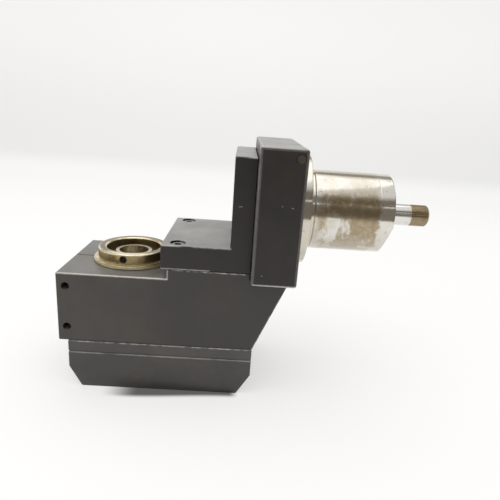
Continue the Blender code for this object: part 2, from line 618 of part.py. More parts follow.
def build_housing_block():
    outline = [
        (HOUSING_LEFT, HOUSING_BOTTOM),
        (SLOPE_BOTTOM.x, SLOPE_BOTTOM.z),
        (SLOPE_TOP.x, SLOPE_TOP.z),
        (BRACKET_RIGHT, SLOPE_TOP.z),
        (BRACKET_RIGHT, HOUSING_HIGH_TOP),
        (STEP_X, HOUSING_HIGH_TOP),
        (STEP_X, HOUSING_TOP),
        (HOUSING_LEFT, HOUSING_TOP),
    ]
    block = bevel(side_outline("housing_block", outline, BODY_WIDTH, PARTS), EDGE_BREAK)
    cut(block, drill("sleeve_bore", (SPINDLE_X, 0.0, HOUSING_TOP), "+Z",
                     [(SLEEVE_RADIUS + SEAT_GAP, HOUSING_HEIGHT + CUT_OVERRUN)], SEEN_SEGMENTS))
    slit = box("clamp_slit", (HOUSING_LEFT - CUT_OVERRUN, -SLIT_WIDTH / 2, HOUSING_BOTTOM - CUT_OVERRUN),
               (SPINDLE_X - SLEEVE_RADIUS / 2, SLIT_WIDTH / 2, HOUSING_TOP + CUT_OVERRUN), CUTTERS)
    cut(block, slit)
    for level, height in CLAMP_SCREW_HEIGHTS.items():
        steps = [(CLAMP_HEAD[0] + CLAMP_HEAD_WALL, CLAMP_HEAD[1] + 2 * SEAT_GAP),
                 (CLAMP_HOLE_RADIUS, BODY_WIDTH + CUT_OVERRUN)]
        cut(block, drill(f"clamp_hole_{level}", (CLAMP_SCREW_X, HALF_WIDTH, HOUSING_BOTTOM + height),
                         "+Y", steps, 2 * SCREW_SEGMENTS))
    bearing_radius = CROSS_BEARING[0] + SEAT_GAP
    through_radius = BEVEL_REACH + 2 * BEVEL_MODULE
    mouth = SLOPE_TOP.x
    cross_steps = [
        (bearing_radius + SEAT_GAP, mouth - POCKET_RIGHT + GEAR_WIDTH / 2),
        (bearing_radius, mouth - CROSS_RIGHT_BEARING + SEAT_GAP),
        (through_radius, mouth - CROSS_LEFT_BEARING - CROSS_BEARING[1] - SEAT_GAP),
        (bearing_radius, mouth - SPINDLE_X - SLEEVE_RADIUS / 2),
    ]
    cut(block, drill("cross_bore", (mouth, 0.0, CROSS_Z), "+X", cross_steps, 2 * SCREW_SEGMENTS))
    idler_reach = spur_tip_radius(IDLER_TEETH) + POCKET_CLEARANCE
    cross_reach = spur_tip_radius(CROSS_TEETH) + POCKET_CLEARANCE
    neck = IDLER_Z - idler_reach
    cut(block, gear_pocket("housing_pocket", CROSS_Z, cross_reach,
                           [(cross_reach, neck), (idler_reach, neck),
                            (idler_reach, HOUSING_HIGH_TOP + CUT_OVERRUN)]))
    tap_radius = SOCKET_SHANK_RADIUS + SEAT_GAP
    for side, y in screw_places(BRACKET_SCREW_SPREAD).items():
        depth = BRACKET_SCREW_LENGTH + SOCKET_HEAD[1] + SCREW_RECESS - BRACKET_FOOT + TAP_SPARE
        cut(block, drill(f"bracket_tap_{side}", (BRACKET_SCREW_X, y, HOUSING_HIGH_TOP), "+Z",
                         [(tap_radius, depth)]))
    screw_top = COVER_SCREW_RECESS + SOCKET_HEAD[1] + COVER_SCREW_LENGTH
    for end, x in COVER_SCREW_X.items():
        for side, y in screw_places(COVER_SCREW_SPREAD).items():
            cut(block, drill(f"cover_tap_{end}_{side}", (x, y, HOUSING_BOTTOM), "-Z",
                             [(tap_radius, screw_top - HOUSING_BOTTOM + TAP_SPARE)]))
    return finish(block, BLACKENED_STEEL)


def build_bracket():
    left = STEP_X - BRACKET_OVERHANG
    wall_left = BRACKET_RIGHT - BRACKET_WALL
    top = BRACKET_BOTTOM + BRACKET_HEIGHT
    outline = [
        (left, BRACKET_BOTTOM),
        (BRACKET_RIGHT, BRACKET_BOTTOM),
        (BRACKET_RIGHT, top),
        (wall_left, top),
        (wall_left, BRACKET_FOOT_TOP),
        (left, BRACKET_FOOT_TOP),
    ]
    bracket = bevel(side_outline("l_bracket", outline, BODY_WIDTH, PARTS), EDGE_BREAK)
    idler_reach = spur_tip_radius(IDLER_TEETH) + POCKET_CLEARANCE
    cut(bracket, gear_pocket("bracket_pocket", INPUT_Z, idler_reach,
                             [(idler_reach, BRACKET_BOTTOM - CUT_OVERRUN)]))
    ring_reach = INPUT_GEAR_SEAT_RADIUS - SHAFT_RING_GROOVE + SHAFT_RING_WALL + 2 * SEAT_GAP
    cut(bracket, drill("shaft_end_recess", (POCKET_LEFT, 0.0, INPUT_Z), "+X",
                       [(ring_reach, 3 * SHAFT_RING_WIDTH)], HIDDEN_SEGMENTS))
    head_radius, head_height = SOCKET_HEAD
    for side, y in screw_places(BRACKET_SCREW_SPREAD).items():
        steps = [(head_radius + COUNTERBORE_WALL, head_height + SCREW_RECESS + SEAT_GAP),
                 (SOCKET_SHANK_RADIUS + SEAT_GAP, BRACKET_FOOT + CUT_OVERRUN)]
        cut(bracket, drill(f"bracket_hole_{side}", (BRACKET_SCREW_X, y, BRACKET_FOOT_TOP), "+Z", steps,
                           2 * SCREW_SEGMENTS))
    grip = FLANGE_SCREW_LENGTH - (FLANGE_THICKNESS - head_height - SCREW_RECESS) + TAP_SPARE
    for level, height in FLANGE_SCREW_HEIGHTS.items():
        for side, y in screw_places(FLANGE_SCREW_SPREAD).items():
            cut(bracket, drill(f"flange_tap_{level}_{side}",
                               (BRACKET_RIGHT, y, FLANGE_BOTTOM + height), "+X",
                               [(SOCKET_SHANK_RADIUS + SEAT_GAP, grip)]))
    return finish(bracket, BLACKENED_STEEL)


def build_flange_shank():
    flange = box("flange_shank", (FLANGE_LEFT, -HALF_FLANGE, FLANGE_BOTTOM),
                 (FLANGE_RIGHT, HALF_FLANGE, FLANGE_TOP), PARTS)
    bevel(flange, FLANGE_EDGE_ROUND)
    root = FLANGE_THICKNESS / 2
    collar_end = FLANGE_THICKNESS + COLLAR_THICKNESS
    undercut_end = collar_end + UNDERCUT_LENGTH
    end = FLANGE_THICKNESS + SHANK_LENGTH
    profile = [
        (0.0, end),
        (SHANK_RADIUS - SHANK_CHAMFER, end),
        (SHANK_RADIUS, end - SHANK_CHAMFER),
        (SHANK_RADIUS, undercut_end + UNDERCUT_DEPTH),
        (SHANK_RADIUS - UNDERCUT_DEPTH, undercut_end),
        (SHANK_RADIUS - UNDERCUT_DEPTH, collar_end),
        (COLLAR_RADIUS - SHANK_CHAMFER, collar_end),
        (COLLAR_RADIUS, collar_end - SHANK_CHAMFER),
        (COLLAR_RADIUS, root),
        (0.0, root),
    ]
    shank = turned("shank_and_collar", profile, (FLANGE_LEFT, 0.0, INPUT_Z), "+X", CUTTERS, SEEN_SEGMENTS)
    combine(flange, shank, 'UNION')

    bearing_radius = INPUT_BEARING[0] + SEAT_GAP
    ring_left = BORE_RING_LEFT - FLANGE_LEFT - SEAT_GAP
    ring_right = ring_left + BORE_RING_WIDTH + 2 * SEAT_GAP
    groove_radius = bearing_radius + BORE_RING_GROOVE
    bore_steps = [
        (bearing_radius, ring_left),
        (groove_radius, ring_right),
        (bearing_radius, INPUT_BEARING_RIGHT - FLANGE_LEFT + SEAT_GAP),
        (SHANK_BORE_RADIUS, FLANGE_THICKNESS + SHANK_LENGTH + CUT_OVERRUN),
    ]
    cut(flange, drill("input_bore", (FLANGE_LEFT, 0.0, INPUT_Z), "-X", bore_steps, 2 * SCREW_SEGMENTS))

    slope = math.atan2(END_FLAT_LENGTH, END_FLAT_DEPTH)
    cut(flange, half_space("end_flat", (SHANK_END, 0.0, INPUT_Z),
                           Matrix.Rotation(-END_FLAT_TURN, 4, 'X')
                           @ Matrix.Translation((-END_FLAT_LENGTH, 0.0, -SHANK_RADIUS))
                           @ Matrix.Rotation(slope, 4, 'Y')))

    head_radius, head_height = SOCKET_HEAD
    for level, height in FLANGE_SCREW_HEIGHTS.items():
        for side, y in screw_places(FLANGE_SCREW_SPREAD).items():
            steps = [(head_radius + COUNTERBORE_WALL, head_height + SCREW_RECESS + SEAT_GAP),
                     (SOCKET_SHANK_RADIUS + SEAT_GAP, FLANGE_THICKNESS + CUT_OVERRUN)]
            cut(flange, drill(f"flange_hole_{level}_{side}", (FLANGE_RIGHT, y, FLANGE_BOTTOM + height),
                              "+X", steps))
    bolt_y = HALF_FLANGE - TURRET_BOLT_EDGE
    for index, height in enumerate(TURRET_BOLT_HEIGHTS):
        for side, y in screw_places(bolt_y).items():
            steps = [TURRET_BOLT_HEAD, (TURRET_BOLT_RADIUS, FLANGE_THICKNESS + CUT_OVERRUN)]
            cut(flange, drill(f"turret_bolt_hole_{index}_{side}", (FLANGE_LEFT, y, FLANGE_BOTTOM + height),
                              "-X", steps))
    cut(flange, drill("idler_axle_hole", (FLANGE_LEFT, 0.0, IDLER_Z), "-X",
                      [(IDLER_AXLE_RADIUS + SEAT_GAP, IDLER_AXLE_GRIP + SEAT_GAP)], HIDDEN_SEGMENTS))
    plug_place = (FLANGE_RIGHT - FACE_PLUG_FROM_RIGHT, -HALF_FLANGE, FLANGE_TOP - FACE_PLUG_FROM_TOP)
    cut(flange, drill("face_plug_hole", plug_place, "-Y",
                      [(FACE_PLUG_RADIUS + SEAT_GAP, FACE_PLUG_DEPTH + SEAT_GAP)], 2 * SCREW_SEGMENTS))
    return finish(flange, GROUND_STEEL)


def build_face_plug():
    place = (FLANGE_RIGHT - FACE_PLUG_FROM_RIGHT, -HALF_FLANGE, FLANGE_TOP - FACE_PLUG_FROM_TOP)
    plug = turned("face_plug", [(0.0, 0.0), (FACE_PLUG_RADIUS, 0.0), (FACE_PLUG_RADIUS, -FACE_PLUG_DEPTH),
                                (0.0, -FACE_PLUG_DEPTH)], place, "-Y", PARTS, 2 * SCREW_SEGMENTS)
    return finish(plug, BRASS_TONED_STEEL)


def build_sleeve():
    bottom = HOUSING_BOTTOM + SEAT_GAP
    rim_bottom = HOUSING_TOP + SEAT_GAP
    rim_top = rim_bottom + SLEEVE_RIM_HEIGHT
    seat_radius = UPPER_BEARING[0] + SEAT_GAP
    shoulder = UPPER_BEARING_BOTTOM - SEAT_GAP
    profile = [
        (SLEEVE_RIM_RADIUS - SLEEVE_RIM_STEP, rim_top),
        (SLEEVE_RIM_RADIUS - SLEEVE_RIM_STEP, rim_top - SLEEVE_RIM_STEP),
        (SLEEVE_RIM_RADIUS, rim_top - SLEEVE_RIM_STEP),
        (SLEEVE_RIM_RADIUS, rim_bottom),
        (SLEEVE_RADIUS, rim_bottom),
        (SLEEVE_RADIUS, bottom),
        (SLEEVE_BORE_RADIUS, bottom),
        (SLEEVE_BORE_RADIUS, shoulder),
        (seat_radius, shoulder),
        (seat_radius, rim_top),
    ]
    sleeve = turned("bearing_sleeve", profile, (SPINDLE_X, 0.0, 0.0), "+Z", PARTS, SEEN_SEGMENTS, ring=True)
    window = drill("pinion_window", (SPINDLE_X + SLEEVE_RADIUS, 0.0, CROSS_Z), "+X",
                   [(SLEEVE_WINDOW_RADIUS, SLEEVE_RADIUS - SLEEVE_BORE_RADIUS / 2)], 2 * SCREW_SEGMENTS)
    cut(sleeve, window)
    return finish(sleeve, BRASS_TONED_STEEL)


def build_ring_nut():
    head_bottom = HOUSING_TOP + SEAT_GAP + SLEEVE_RIM_HEIGHT + SEAT_GAP
    head_top = head_bottom + RING_HEIGHT
    spigot_radius = UPPER_BEARING[0]
    spigot_bottom = UPPER_BEARING_TOP + SEAT_GAP
    profile = [
        (RING_RADIUS - RING_CHAMFER, head_top),
        (RING_RADIUS, head_top - RING_CHAMFER),
        (RING_RADIUS, head_bottom),
        (spigot_radius, head_bottom),
        (spigot_radius, spigot_bottom),
        (RING_BORE_RADIUS, spigot_bottom),
        (RING_BORE_RADIUS, head_top - RING_CHAMFER),
        (RING_BORE_RADIUS + RING_CHAMFER, head_top),
    ]
    nut = turned("ring_nut", profile, (SPINDLE_X, 0.0, 0.0), "+Z", PARTS, SEEN_SEGMENTS, ring=True)
    hole_z = (head_bottom + head_top - RING_CHAMFER) / 2
    for index in range(SPANNER_HOLE_COUNT):
        angle = SPANNER_HOLE_ANGLE + 2 * math.pi * index / SPANNER_HOLE_COUNT
        name = f"spanner_hole_{index}"
        depth = (RING_RADIUS - RING_BORE_RADIUS) * SPANNER_HOLE_SHARE
        hole = drill(name, (0.0, 0.0, 0.0), "+X", [(SPANNER_HOLE_RADIUS, depth)])
        outwards = Matrix.Rotation(angle, 4, 'Z') @ Matrix.Translation((RING_RADIUS, 0.0, 0.0))
        hole.matrix_world = (Matrix.Translation((SPINDLE_X, 0.0, hole_z)) @ outwards
                             @ Matrix.Rotation(math.pi / 2, 4, 'Y'))
        cut(nut, hole)
    return finish(nut, BRASS_TONED_STEEL)


def build_spindle():
    nose_top = UPPER_BEARING_TOP + SEAT_GAP + SPINDLE_NOSE_HEIGHT
    nose_bottom = UPPER_BEARING_TOP + SEAT_GAP
    collet_bottom = nose_top - COLLET_DEPTH
    collet_floor_radius = COLLET_MOUTH_RADIUS - COLLET_DEPTH * math.tan(COLLET_HALF_ANGLE)
    upper_end = UPPER_BEARING_BOTTOM - SPINDLE_UPPER_TAIL
    gear_top = CROSS_Z - BEVEL_REACH * BEVEL_SMALL + SEAT_GAP
    thread_top = LOWER_BEARING_BOTTOM - SEAT_GAP
    tail = thread_top - LOCK_NUT_HEIGHT - SEAT_GAP
    profile = [
        (0.0, collet_bottom),
        (collet_floor_radius, collet_bottom),
        (COLLET_MOUTH_RADIUS, nose_top),
        (SPINDLE_NOSE_RADIUS - SEAT_GAP, nose_top),
        (SPINDLE_NOSE_RADIUS, nose_top - SEAT_GAP),
        (SPINDLE_NOSE_RADIUS, nose_bottom),
        (SPINDLE_UPPER_RADIUS, nose_bottom),
        (SPINDLE_UPPER_RADIUS, upper_end),
        (SPINDLE_WAIST_RADIUS, upper_end),
        (SPINDLE_WAIST_RADIUS, gear_top),
        (SPINDLE_LOWER_RADIUS, gear_top),
        (SPINDLE_LOWER_RADIUS, thread_top),
        (SPINDLE_THREAD_RADIUS, thread_top),
        (SPINDLE_THREAD_RADIUS, tail),
        (0.0, tail),
    ]
    spindle = turned("spindle", profile, (SPINDLE_X, 0.0, 0.0), "+Z", PARTS,
                     SPINDLE_SEGMENTS)
    return finish(spindle, GROUND_STEEL)


def build_spindle_gear():
    apex = (SPINDLE_X, 0.0, CROSS_Z)
    gear = bevel_teeth("spindle_bevel_gear", apex, "-Z", True, PARTS)
    hub_radius = BEVEL_REACH * BEVEL_HUB_SHARE
    hub_top = CROSS_Z - BEVEL_REACH + SEAT_GAP
    hub_bottom = LOWER_BEARING_TOP + SEAT_GAP
    nose_radius = SPINDLE_LOWER_RADIUS + BUSH_WALL
    nose_height = 2 * SEAT_GAP
    profile = [(0.0, hub_top), (hub_radius, hub_top), (hub_radius, hub_bottom + nose_height),
               (nose_radius, hub_bottom + nose_height), (nose_radius, hub_bottom), (0.0, hub_bottom)]
    hub = turned("spindle_gear_hub", profile, (SPINDLE_X, 0.0, 0.0), "+Z", CUTTERS)
    combine(gear, hub, 'UNION')
    cut(gear, drill("spindle_gear_bore", (SPINDLE_X, 0.0, CROSS_Z), "+Z",
                    [(SPINDLE_LOWER_RADIUS + SEAT_GAP, CROSS_Z - HOUSING_BOTTOM + CUT_OVERRUN)],
                    HIDDEN_SEGMENTS))
    return finish(gear, GEAR_STEEL)


def build_lock_nut():
    top = LOWER_BEARING_BOTTOM - SEAT_GAP
    section = ring_profile(SPINDLE_THREAD_RADIUS + SEAT_GAP, LOCK_NUT_RADIUS, top - LOCK_NUT_HEIGHT, top)
    nut = turned("spindle_lock_nut", section, (SPINDLE_X, 0.0, 0.0), "+Z", PARTS, ring=True)
    middle = top - LOCK_NUT_HEIGHT / 2
    for index in range(LOCK_NUT_SLOTS):
        half = LOCK_NUT_SLOT_WIDTH / 2
        slot = box(f"lock_nut_slot_{index}", (-half, -half, -LOCK_NUT_HEIGHT), (half, half, LOCK_NUT_HEIGHT),
                   CUTTERS)
        reach = LOCK_NUT_RADIUS - LOCK_NUT_SLOT_DEPTH + half
        slot.matrix_world = (Matrix.Translation((SPINDLE_X, 0.0, middle))
                             @ Matrix.Rotation(2 * math.pi * index / LOCK_NUT_SLOTS, 4, 'Z')
                             @ Matrix.Translation((reach, 0.0, 0.0)))
        cut(nut, slot)
    return finish(nut, GEAR_STEEL)


def build_cross_shaft():
    apex = (SPINDLE_X, 0.0, CROSS_Z)
    shaft_left = BEVEL_REACH * BEVEL_SMALL + SEAT_GAP
    shoulder = CROSS_LEFT_BEARING - SEAT_GAP - SPINDLE_X
    end = CROSS_SHAFT_END - SPINDLE_X
    core = BEVEL_REACH * BEVEL_SMALL * PINION_CORE_SHARE
    profile = [
        (0.0, end),
        (CROSS_SEAT_RADIUS, end),
        (CROSS_SEAT_RADIUS, shoulder),
        (CROSS_SHOULDER_RADIUS, shoulder),
        (CROSS_SHOULDER_RADIUS, BEVEL_REACH - SEAT_GAP),
        (core, BEVEL_REACH - SEAT_GAP),
        (core, shaft_left),
        (0.0, shaft_left),
    ]
    shaft = turned("cross_shaft", profile, apex, "+X", PARTS)
    pinion = bevel_teeth("cross_shaft_pinion_teeth", apex, "+X", False, CUTTERS)
    combine(shaft, pinion, 'UNION')
    return finish(shaft, GEAR_STEEL)


def spur_gear(name, teeth, z, space_first, bore_radius, hub_radius=0.0, hub_right=0.0):
    middle = (GEAR_LEFT + GEAR_RIGHT) / 2
    gear = outline_solid(name, spur_outline(teeth, space_first), GEAR_WIDTH, (middle, 0.0, z), "+X", PARTS)
    if hub_radius > 0.0:
        profile = [(0.0, hub_right), (hub_radius, hub_right), (hub_radius, middle), (0.0, middle)]
        combine(gear, turned(name + "_hub", profile, (0.0, 0.0, z), "+X", CUTTERS), 'UNION')
    mouth = max(GEAR_RIGHT, hub_right)
    depth = mouth - GEAR_LEFT + CUT_OVERRUN
    cut(gear, drill(name + "_bore", (mouth, 0.0, z), "+X", [(bore_radius, depth)], HIDDEN_SEGMENTS))
    return finish(gear, GEAR_STEEL)


def build_gear_train():
    hub_end = INPUT_BEARING_RIGHT - INPUT_BEARING[1] - SEAT_GAP
    spur_gear("input_gear", INPUT_TEETH, INPUT_Z, False, INPUT_GEAR_SEAT_RADIUS + SEAT_GAP,
              INPUT_SHOULDER_RADIUS, hub_end)
    bush_outer = IDLER_AXLE_RADIUS + SEAT_GAP + BUSH_WALL
    spur_gear("idler_gear", IDLER_TEETH, IDLER_Z, True, bush_outer + SEAT_GAP)
    spur_gear("cross_shaft_gear", CROSS_TEETH, CROSS_Z, False, CROSS_SEAT_RADIUS + SEAT_GAP)
    bush_section = ring_profile(IDLER_AXLE_RADIUS + SEAT_GAP, bush_outer, GEAR_LEFT, GEAR_RIGHT)
    finish(turned("idler_bush", bush_section, (0.0, 0.0, IDLER_Z), "+X", PARTS, ring=True), BRONZE)
    axle_end = FLANGE_LEFT + IDLER_AXLE_GRIP
    radius = IDLER_AXLE_RADIUS
    profile = [(0.0, axle_end), (radius, axle_end), (radius, GEAR_LEFT), (0.0, GEAR_LEFT)]
    finish(turned("idler_axle", profile, (0.0, 0.0, IDLER_Z), "+X", PARTS), GROUND_STEEL)


def build_cross_shaft_nut():
    left = GEAR_RIGHT + SEAT_GAP
    corners = [math.pi * corner / 3 for corner in range(6)]
    hexagon = [(SHAFT_NUT_RADIUS * math.cos(angle), SHAFT_NUT_RADIUS * math.sin(angle)) for angle in corners]
    centre = (left + SHAFT_NUT_WIDTH / 2, 0.0, CROSS_Z)
    nut = outline_solid("cross_shaft_nut", hexagon, SHAFT_NUT_WIDTH, centre, "+X", PARTS)
    cut(nut, drill("cross_shaft_nut_bore", (left + SHAFT_NUT_WIDTH, 0.0, CROSS_Z), "+X",
                   [(CROSS_SEAT_RADIUS + SEAT_GAP, SHAFT_NUT_WIDTH + CUT_OVERRUN)], HIDDEN_SEGMENTS))
    return finish(nut, GEAR_STEEL)


def build_bore_plug():
    """Closes the cross shaft's bore, with an outer face that follows the housing's slanted side."""
    right = SLOPE_TOP.x
    radius = CROSS_BEARING[0] + SEAT_GAP
    profile = [(0.0, right), (radius, right), (radius, BORE_PLUG_LEFT), (0.0, BORE_PLUG_LEFT)]
    plug = turned("bore_plug", profile, (0.0, 0.0, CROSS_Z), "+X", PARTS, 2 * SCREW_SEGMENTS)
    lean = math.atan2(SLOPE_TOP.x - SLOPE_BOTTOM.x, SLOPE_TOP.z - SLOPE_BOTTOM.z)
    cut(plug, half_space("bore_plug_face", SLOPE_BOTTOM,
                         Matrix.Translation((-BORE_PLUG_RECESS, 0.0, 0.0)) @ Matrix.Rotation(lean, 4, 'Y')))
    face = SLOPE_BOTTOM.x + (CROSS_Z - SLOPE_BOTTOM.z) * math.tan(lean)
    radius, depth = BORE_PLUG_PULLER
    cut(plug, drill("bore_plug_puller", (face + CUT_OVERRUN, 0.0, CROSS_Z), "+X",
                    [(radius, depth + CUT_OVERRUN)]))
    return finish(plug, SCREW_BLACK)


def build_input_shaft():
    start = INPUT_SHAFT_LEFT
    groove_left = SHAFT_RING_LEFT - SEAT_GAP
    groove_right = SHAFT_RING_LEFT + SHAFT_RING_WIDTH + SEAT_GAP
    groove_radius = INPUT_GEAR_SEAT_RADIUS - SHAFT_RING_GROOVE
    shoulder = INPUT_BEARING_RIGHT + SEAT_GAP
    bearing_left = INPUT_BEARING_RIGHT - INPUT_BEARING[1]
    bush_left = SHANK_BUSH_LEFT
    seal_left = bush_left + SHANK_BUSH_WIDTH + SEAT_GAP
    profile = [
        (0.0, STUB_END),
        (STUB_RADIUS - STUB_CHAMFER, STUB_END),
        (STUB_RADIUS, STUB_END - STUB_CHAMFER),
        (STUB_RADIUS, seal_left),
        (INPUT_SEAT_RADIUS, seal_left),
        (INPUT_SEAT_RADIUS, bush_left - SEAT_GAP),
        (INPUT_SHOULDER_RADIUS, bush_left - SEAT_GAP),
        (INPUT_SHOULDER_RADIUS, shoulder),
        (INPUT_SEAT_RADIUS, shoulder),
        (INPUT_SEAT_RADIUS, bearing_left),
        (INPUT_GEAR_SEAT_RADIUS, bearing_left),
        (INPUT_GEAR_SEAT_RADIUS, groove_right),
        (groove_radius, groove_right),
        (groove_radius, groove_left),
        (INPUT_GEAR_SEAT_RADIUS, groove_left),
        (INPUT_GEAR_SEAT_RADIUS, start),
        (0.0, start),
    ]
    shaft = turned("input_shaft", profile, (0.0, 0.0, INPUT_Z), "+X", PARTS, SERRATION_COUNT)
    cut(shaft, serration_cutter())
    return finish(shaft, GROUND_STEEL)


def serration_cutter():
    """Triangular rods round the stub, one for each groove of its serration."""
    shape = bmesh.new()
    side = SERRATION_DEPTH * SERRATION_CUTTER
    length = SERRATION_LENGTH + CUT_OVERRUN
    for index in range(SERRATION_COUNT):
        angle = 2 * math.pi * (index + 0.5) / SERRATION_COUNT
        place = (Matrix.Rotation(angle, 4, 'Z')
                 @ Matrix.Translation((STUB_RADIUS - SERRATION_DEPTH + side, 0.0, length / 2))
                 @ Matrix.Rotation(math.pi / 2, 4, 'Z'))
        bmesh.ops.create_cone(shape, cap_ends=True, segments=3, radius1=side, radius2=side, depth=length,
                              matrix=place)
    mesh = bpy.data.meshes.new("serration_cutter")
    shape.to_mesh(mesh)
    shape.free()
    cutter = new_object("serration_cutter", mesh, CUTTERS)
    cutter.location = (STUB_END - SERRATION_LENGTH, 0.0, INPUT_Z)
    cutter.rotation_euler = FACING["+X"]
    return cutter


def split_ring(name, inner, outer, left, width, facing):
    """A retaining ring with a gap for its pliers."""
    ring = turned(name, ring_profile(inner, outer, left, left + width), (0.0, 0.0, INPUT_Z), facing, PARTS,
                  ring=True)
    half = RING_GAP_WIDTH / 2
    gap = box(name + "_gap", (left - CUT_OVERRUN, -half, INPUT_Z),
              (left + width + CUT_OVERRUN, half, INPUT_Z + outer + CUT_OVERRUN), CUTTERS)
    cut(ring, gap)
    return finish(ring, GEAR_STEEL)


def build_retaining_rings():
    groove_radius = INPUT_GEAR_SEAT_RADIUS - SHAFT_RING_GROOVE + SEAT_GAP
    split_ring("shaft_retaining_ring", groove_radius, groove_radius + SHAFT_RING_WALL, SHAFT_RING_LEFT,
               SHAFT_RING_WIDTH, "+X")
    outer = INPUT_BEARING[0] + BORE_RING_GROOVE
    split_ring("bore_retaining_ring", outer - BORE_RING_WALL, outer, BORE_RING_LEFT, BORE_RING_WIDTH, "+X")


def build_shank_end():
    bush_section = ring_profile(INPUT_SEAT_RADIUS + SEAT_GAP, SHANK_BORE_RADIUS - SEAT_GAP,
                                SHANK_BUSH_LEFT, SHANK_BUSH_LEFT + SHANK_BUSH_WIDTH)
    bush = turned("shank_bush", bush_section, (0.0, 0.0, INPUT_Z), "+X", PARTS, ring=True)
    finish(bush, BRONZE)
    seal_left = SHANK_BUSH_LEFT + SHANK_BUSH_WIDTH + 2 * SEAT_GAP
    seal_section = ring_profile(STUB_RADIUS + SEAT_GAP, SHANK_BORE_RADIUS - SEAT_GAP, seal_left,
                                seal_left + SEAL_WIDTH)
    seal = turned("shaft_seal", seal_section, (0.0, 0.0, INPUT_Z), "+X", PARTS, ring=True)
    finish(seal, SEAL_RUBBER)


def build_bearings():
    ball_bearing("input_bearing", INPUT_SEAT_RADIUS, INPUT_BEARING,
                 (INPUT_BEARING_RIGHT - INPUT_BEARING[1], 0.0, INPUT_Z), "+X")
    ball_bearing("cross_left_bearing", CROSS_SEAT_RADIUS, CROSS_BEARING,
                 (CROSS_LEFT_BEARING, 0.0, CROSS_Z), "+X")
    ball_bearing("cross_right_bearing", CROSS_SEAT_RADIUS, CROSS_BEARING,
                 (CROSS_RIGHT_BEARING, 0.0, CROSS_Z), "+X")
    ball_bearing("upper_spindle_bearing", SPINDLE_UPPER_RADIUS, UPPER_BEARING,
                 (SPINDLE_X, 0.0, UPPER_BEARING_BOTTOM), "+Z")
    ball_bearing("lower_spindle_bearing", SPINDLE_LOWER_RADIUS, LOWER_BEARING,
                 (SPINDLE_X, 0.0, LOWER_BEARING_BOTTOM), "+Z")


def build_screws():
    for side, y in screw_places(BRACKET_SCREW_SPREAD).items():
        socket_screw(f"bracket_screw_{side}", SOCKET_HEAD, SOCKET_SHANK_RADIUS, BRACKET_SCREW_LENGTH,
                     (BRACKET_SCREW_X, y, BRACKET_FOOT_TOP - SCREW_RECESS), "+Z")
    for level, height in CLAMP_SCREW_HEIGHTS.items():
        length = BODY_WIDTH - CLAMP_THREAD_STOP - CLAMP_HEAD[1] - SEAT_GAP
        socket_screw(f"clamp_screw_{level}", CLAMP_HEAD, CLAMP_HOLE_RADIUS - SEAT_GAP, length,
                     (CLAMP_SCREW_X, HALF_WIDTH - SEAT_GAP, HOUSING_BOTTOM + height), "+Y")
    for end, x in COVER_SCREW_X.items():
        for side, y in screw_places(COVER_SCREW_SPREAD).items():
            socket_screw(f"cover_screw_{end}_{side}", SOCKET_HEAD, SOCKET_SHANK_RADIUS, COVER_SCREW_LENGTH,
                         (x, y, COVER_SCREW_RECESS), "-Z")
    for level, height in FLANGE_SCREW_HEIGHTS.items():
        for side, y in screw_places(FLANGE_SCREW_SPREAD).items():
            socket_screw(f"flange_screw_{level}_{side}", SOCKET_HEAD, SOCKET_SHANK_RADIUS,
                         FLANGE_SCREW_LENGTH, (FLANGE_RIGHT - SCREW_RECESS, y, FLANGE_BOTTOM + height), "+X")


def settle_meshes():
    """Turn each piece's modifiers into its mesh, shaded smooth up to its sharp edges."""
    graph = bpy.context.evaluated_depsgraph_get()
    settled = {}
    for piece in PARTS.objects:
        settled[piece.name] = bpy.data.meshes.new_from_object(piece.evaluated_get(graph))
    for piece in PARTS.objects:
        piece.modifiers.clear()
        piece.data = settled[piece.name]
        piece.data.shade_smooth()
        piece.data.set_sharp_from_angle(angle=SMOOTH_ANGLE)


clear_scene()
PARTS = new_collection("tool_holder")
CUTTERS = new_collection("cutters")
build_lower_cover()
build_middle_plate()
build_housing_block()
build_bracket()
build_flange_shank()
build_face_plug()
build_sleeve()
build_ring_nut()
build_spindle()
build_spindle_gear()
build_lock_nut()
build_cross_shaft()
build_gear_train()
build_cross_shaft_nut()
build_bore_plug()
build_input_shaft()
build_retaining_rings()
build_shank_end()
build_bearings()
build_screws()
settle_meshes()
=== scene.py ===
# Finishes, worn edges and fine detail for a right-angle driven tool holder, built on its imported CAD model.
# All lengths are in metres. X runs along the shank, Z is up.

import math

import bmesh
import bpy
from mathutils import Matrix, Vector


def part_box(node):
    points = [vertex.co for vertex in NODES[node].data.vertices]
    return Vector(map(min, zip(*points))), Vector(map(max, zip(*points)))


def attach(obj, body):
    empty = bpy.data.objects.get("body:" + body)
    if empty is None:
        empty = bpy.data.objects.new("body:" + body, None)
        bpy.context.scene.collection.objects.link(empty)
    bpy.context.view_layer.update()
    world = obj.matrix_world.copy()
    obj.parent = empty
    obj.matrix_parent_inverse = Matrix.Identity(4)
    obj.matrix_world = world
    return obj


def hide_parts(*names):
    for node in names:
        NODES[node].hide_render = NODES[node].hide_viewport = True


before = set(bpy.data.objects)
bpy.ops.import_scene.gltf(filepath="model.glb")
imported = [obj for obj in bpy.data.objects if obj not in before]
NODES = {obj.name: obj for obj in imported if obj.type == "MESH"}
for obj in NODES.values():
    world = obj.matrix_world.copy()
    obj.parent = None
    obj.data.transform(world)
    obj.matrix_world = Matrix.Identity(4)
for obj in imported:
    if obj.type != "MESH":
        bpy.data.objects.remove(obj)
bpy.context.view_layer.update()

# Tones of the black oxide on each block
COVER_TONE = (0.037, 0.0335, 0.0300)
PLATE_TONE = (0.046, 0.0435, 0.0400)
BODY_TONE = (0.036, 0.0310, 0.0258)
BRACKET_TONE = (0.014, 0.0122, 0.0104)
FLANGE_TONE = (0.015, 0.0126, 0.0108)
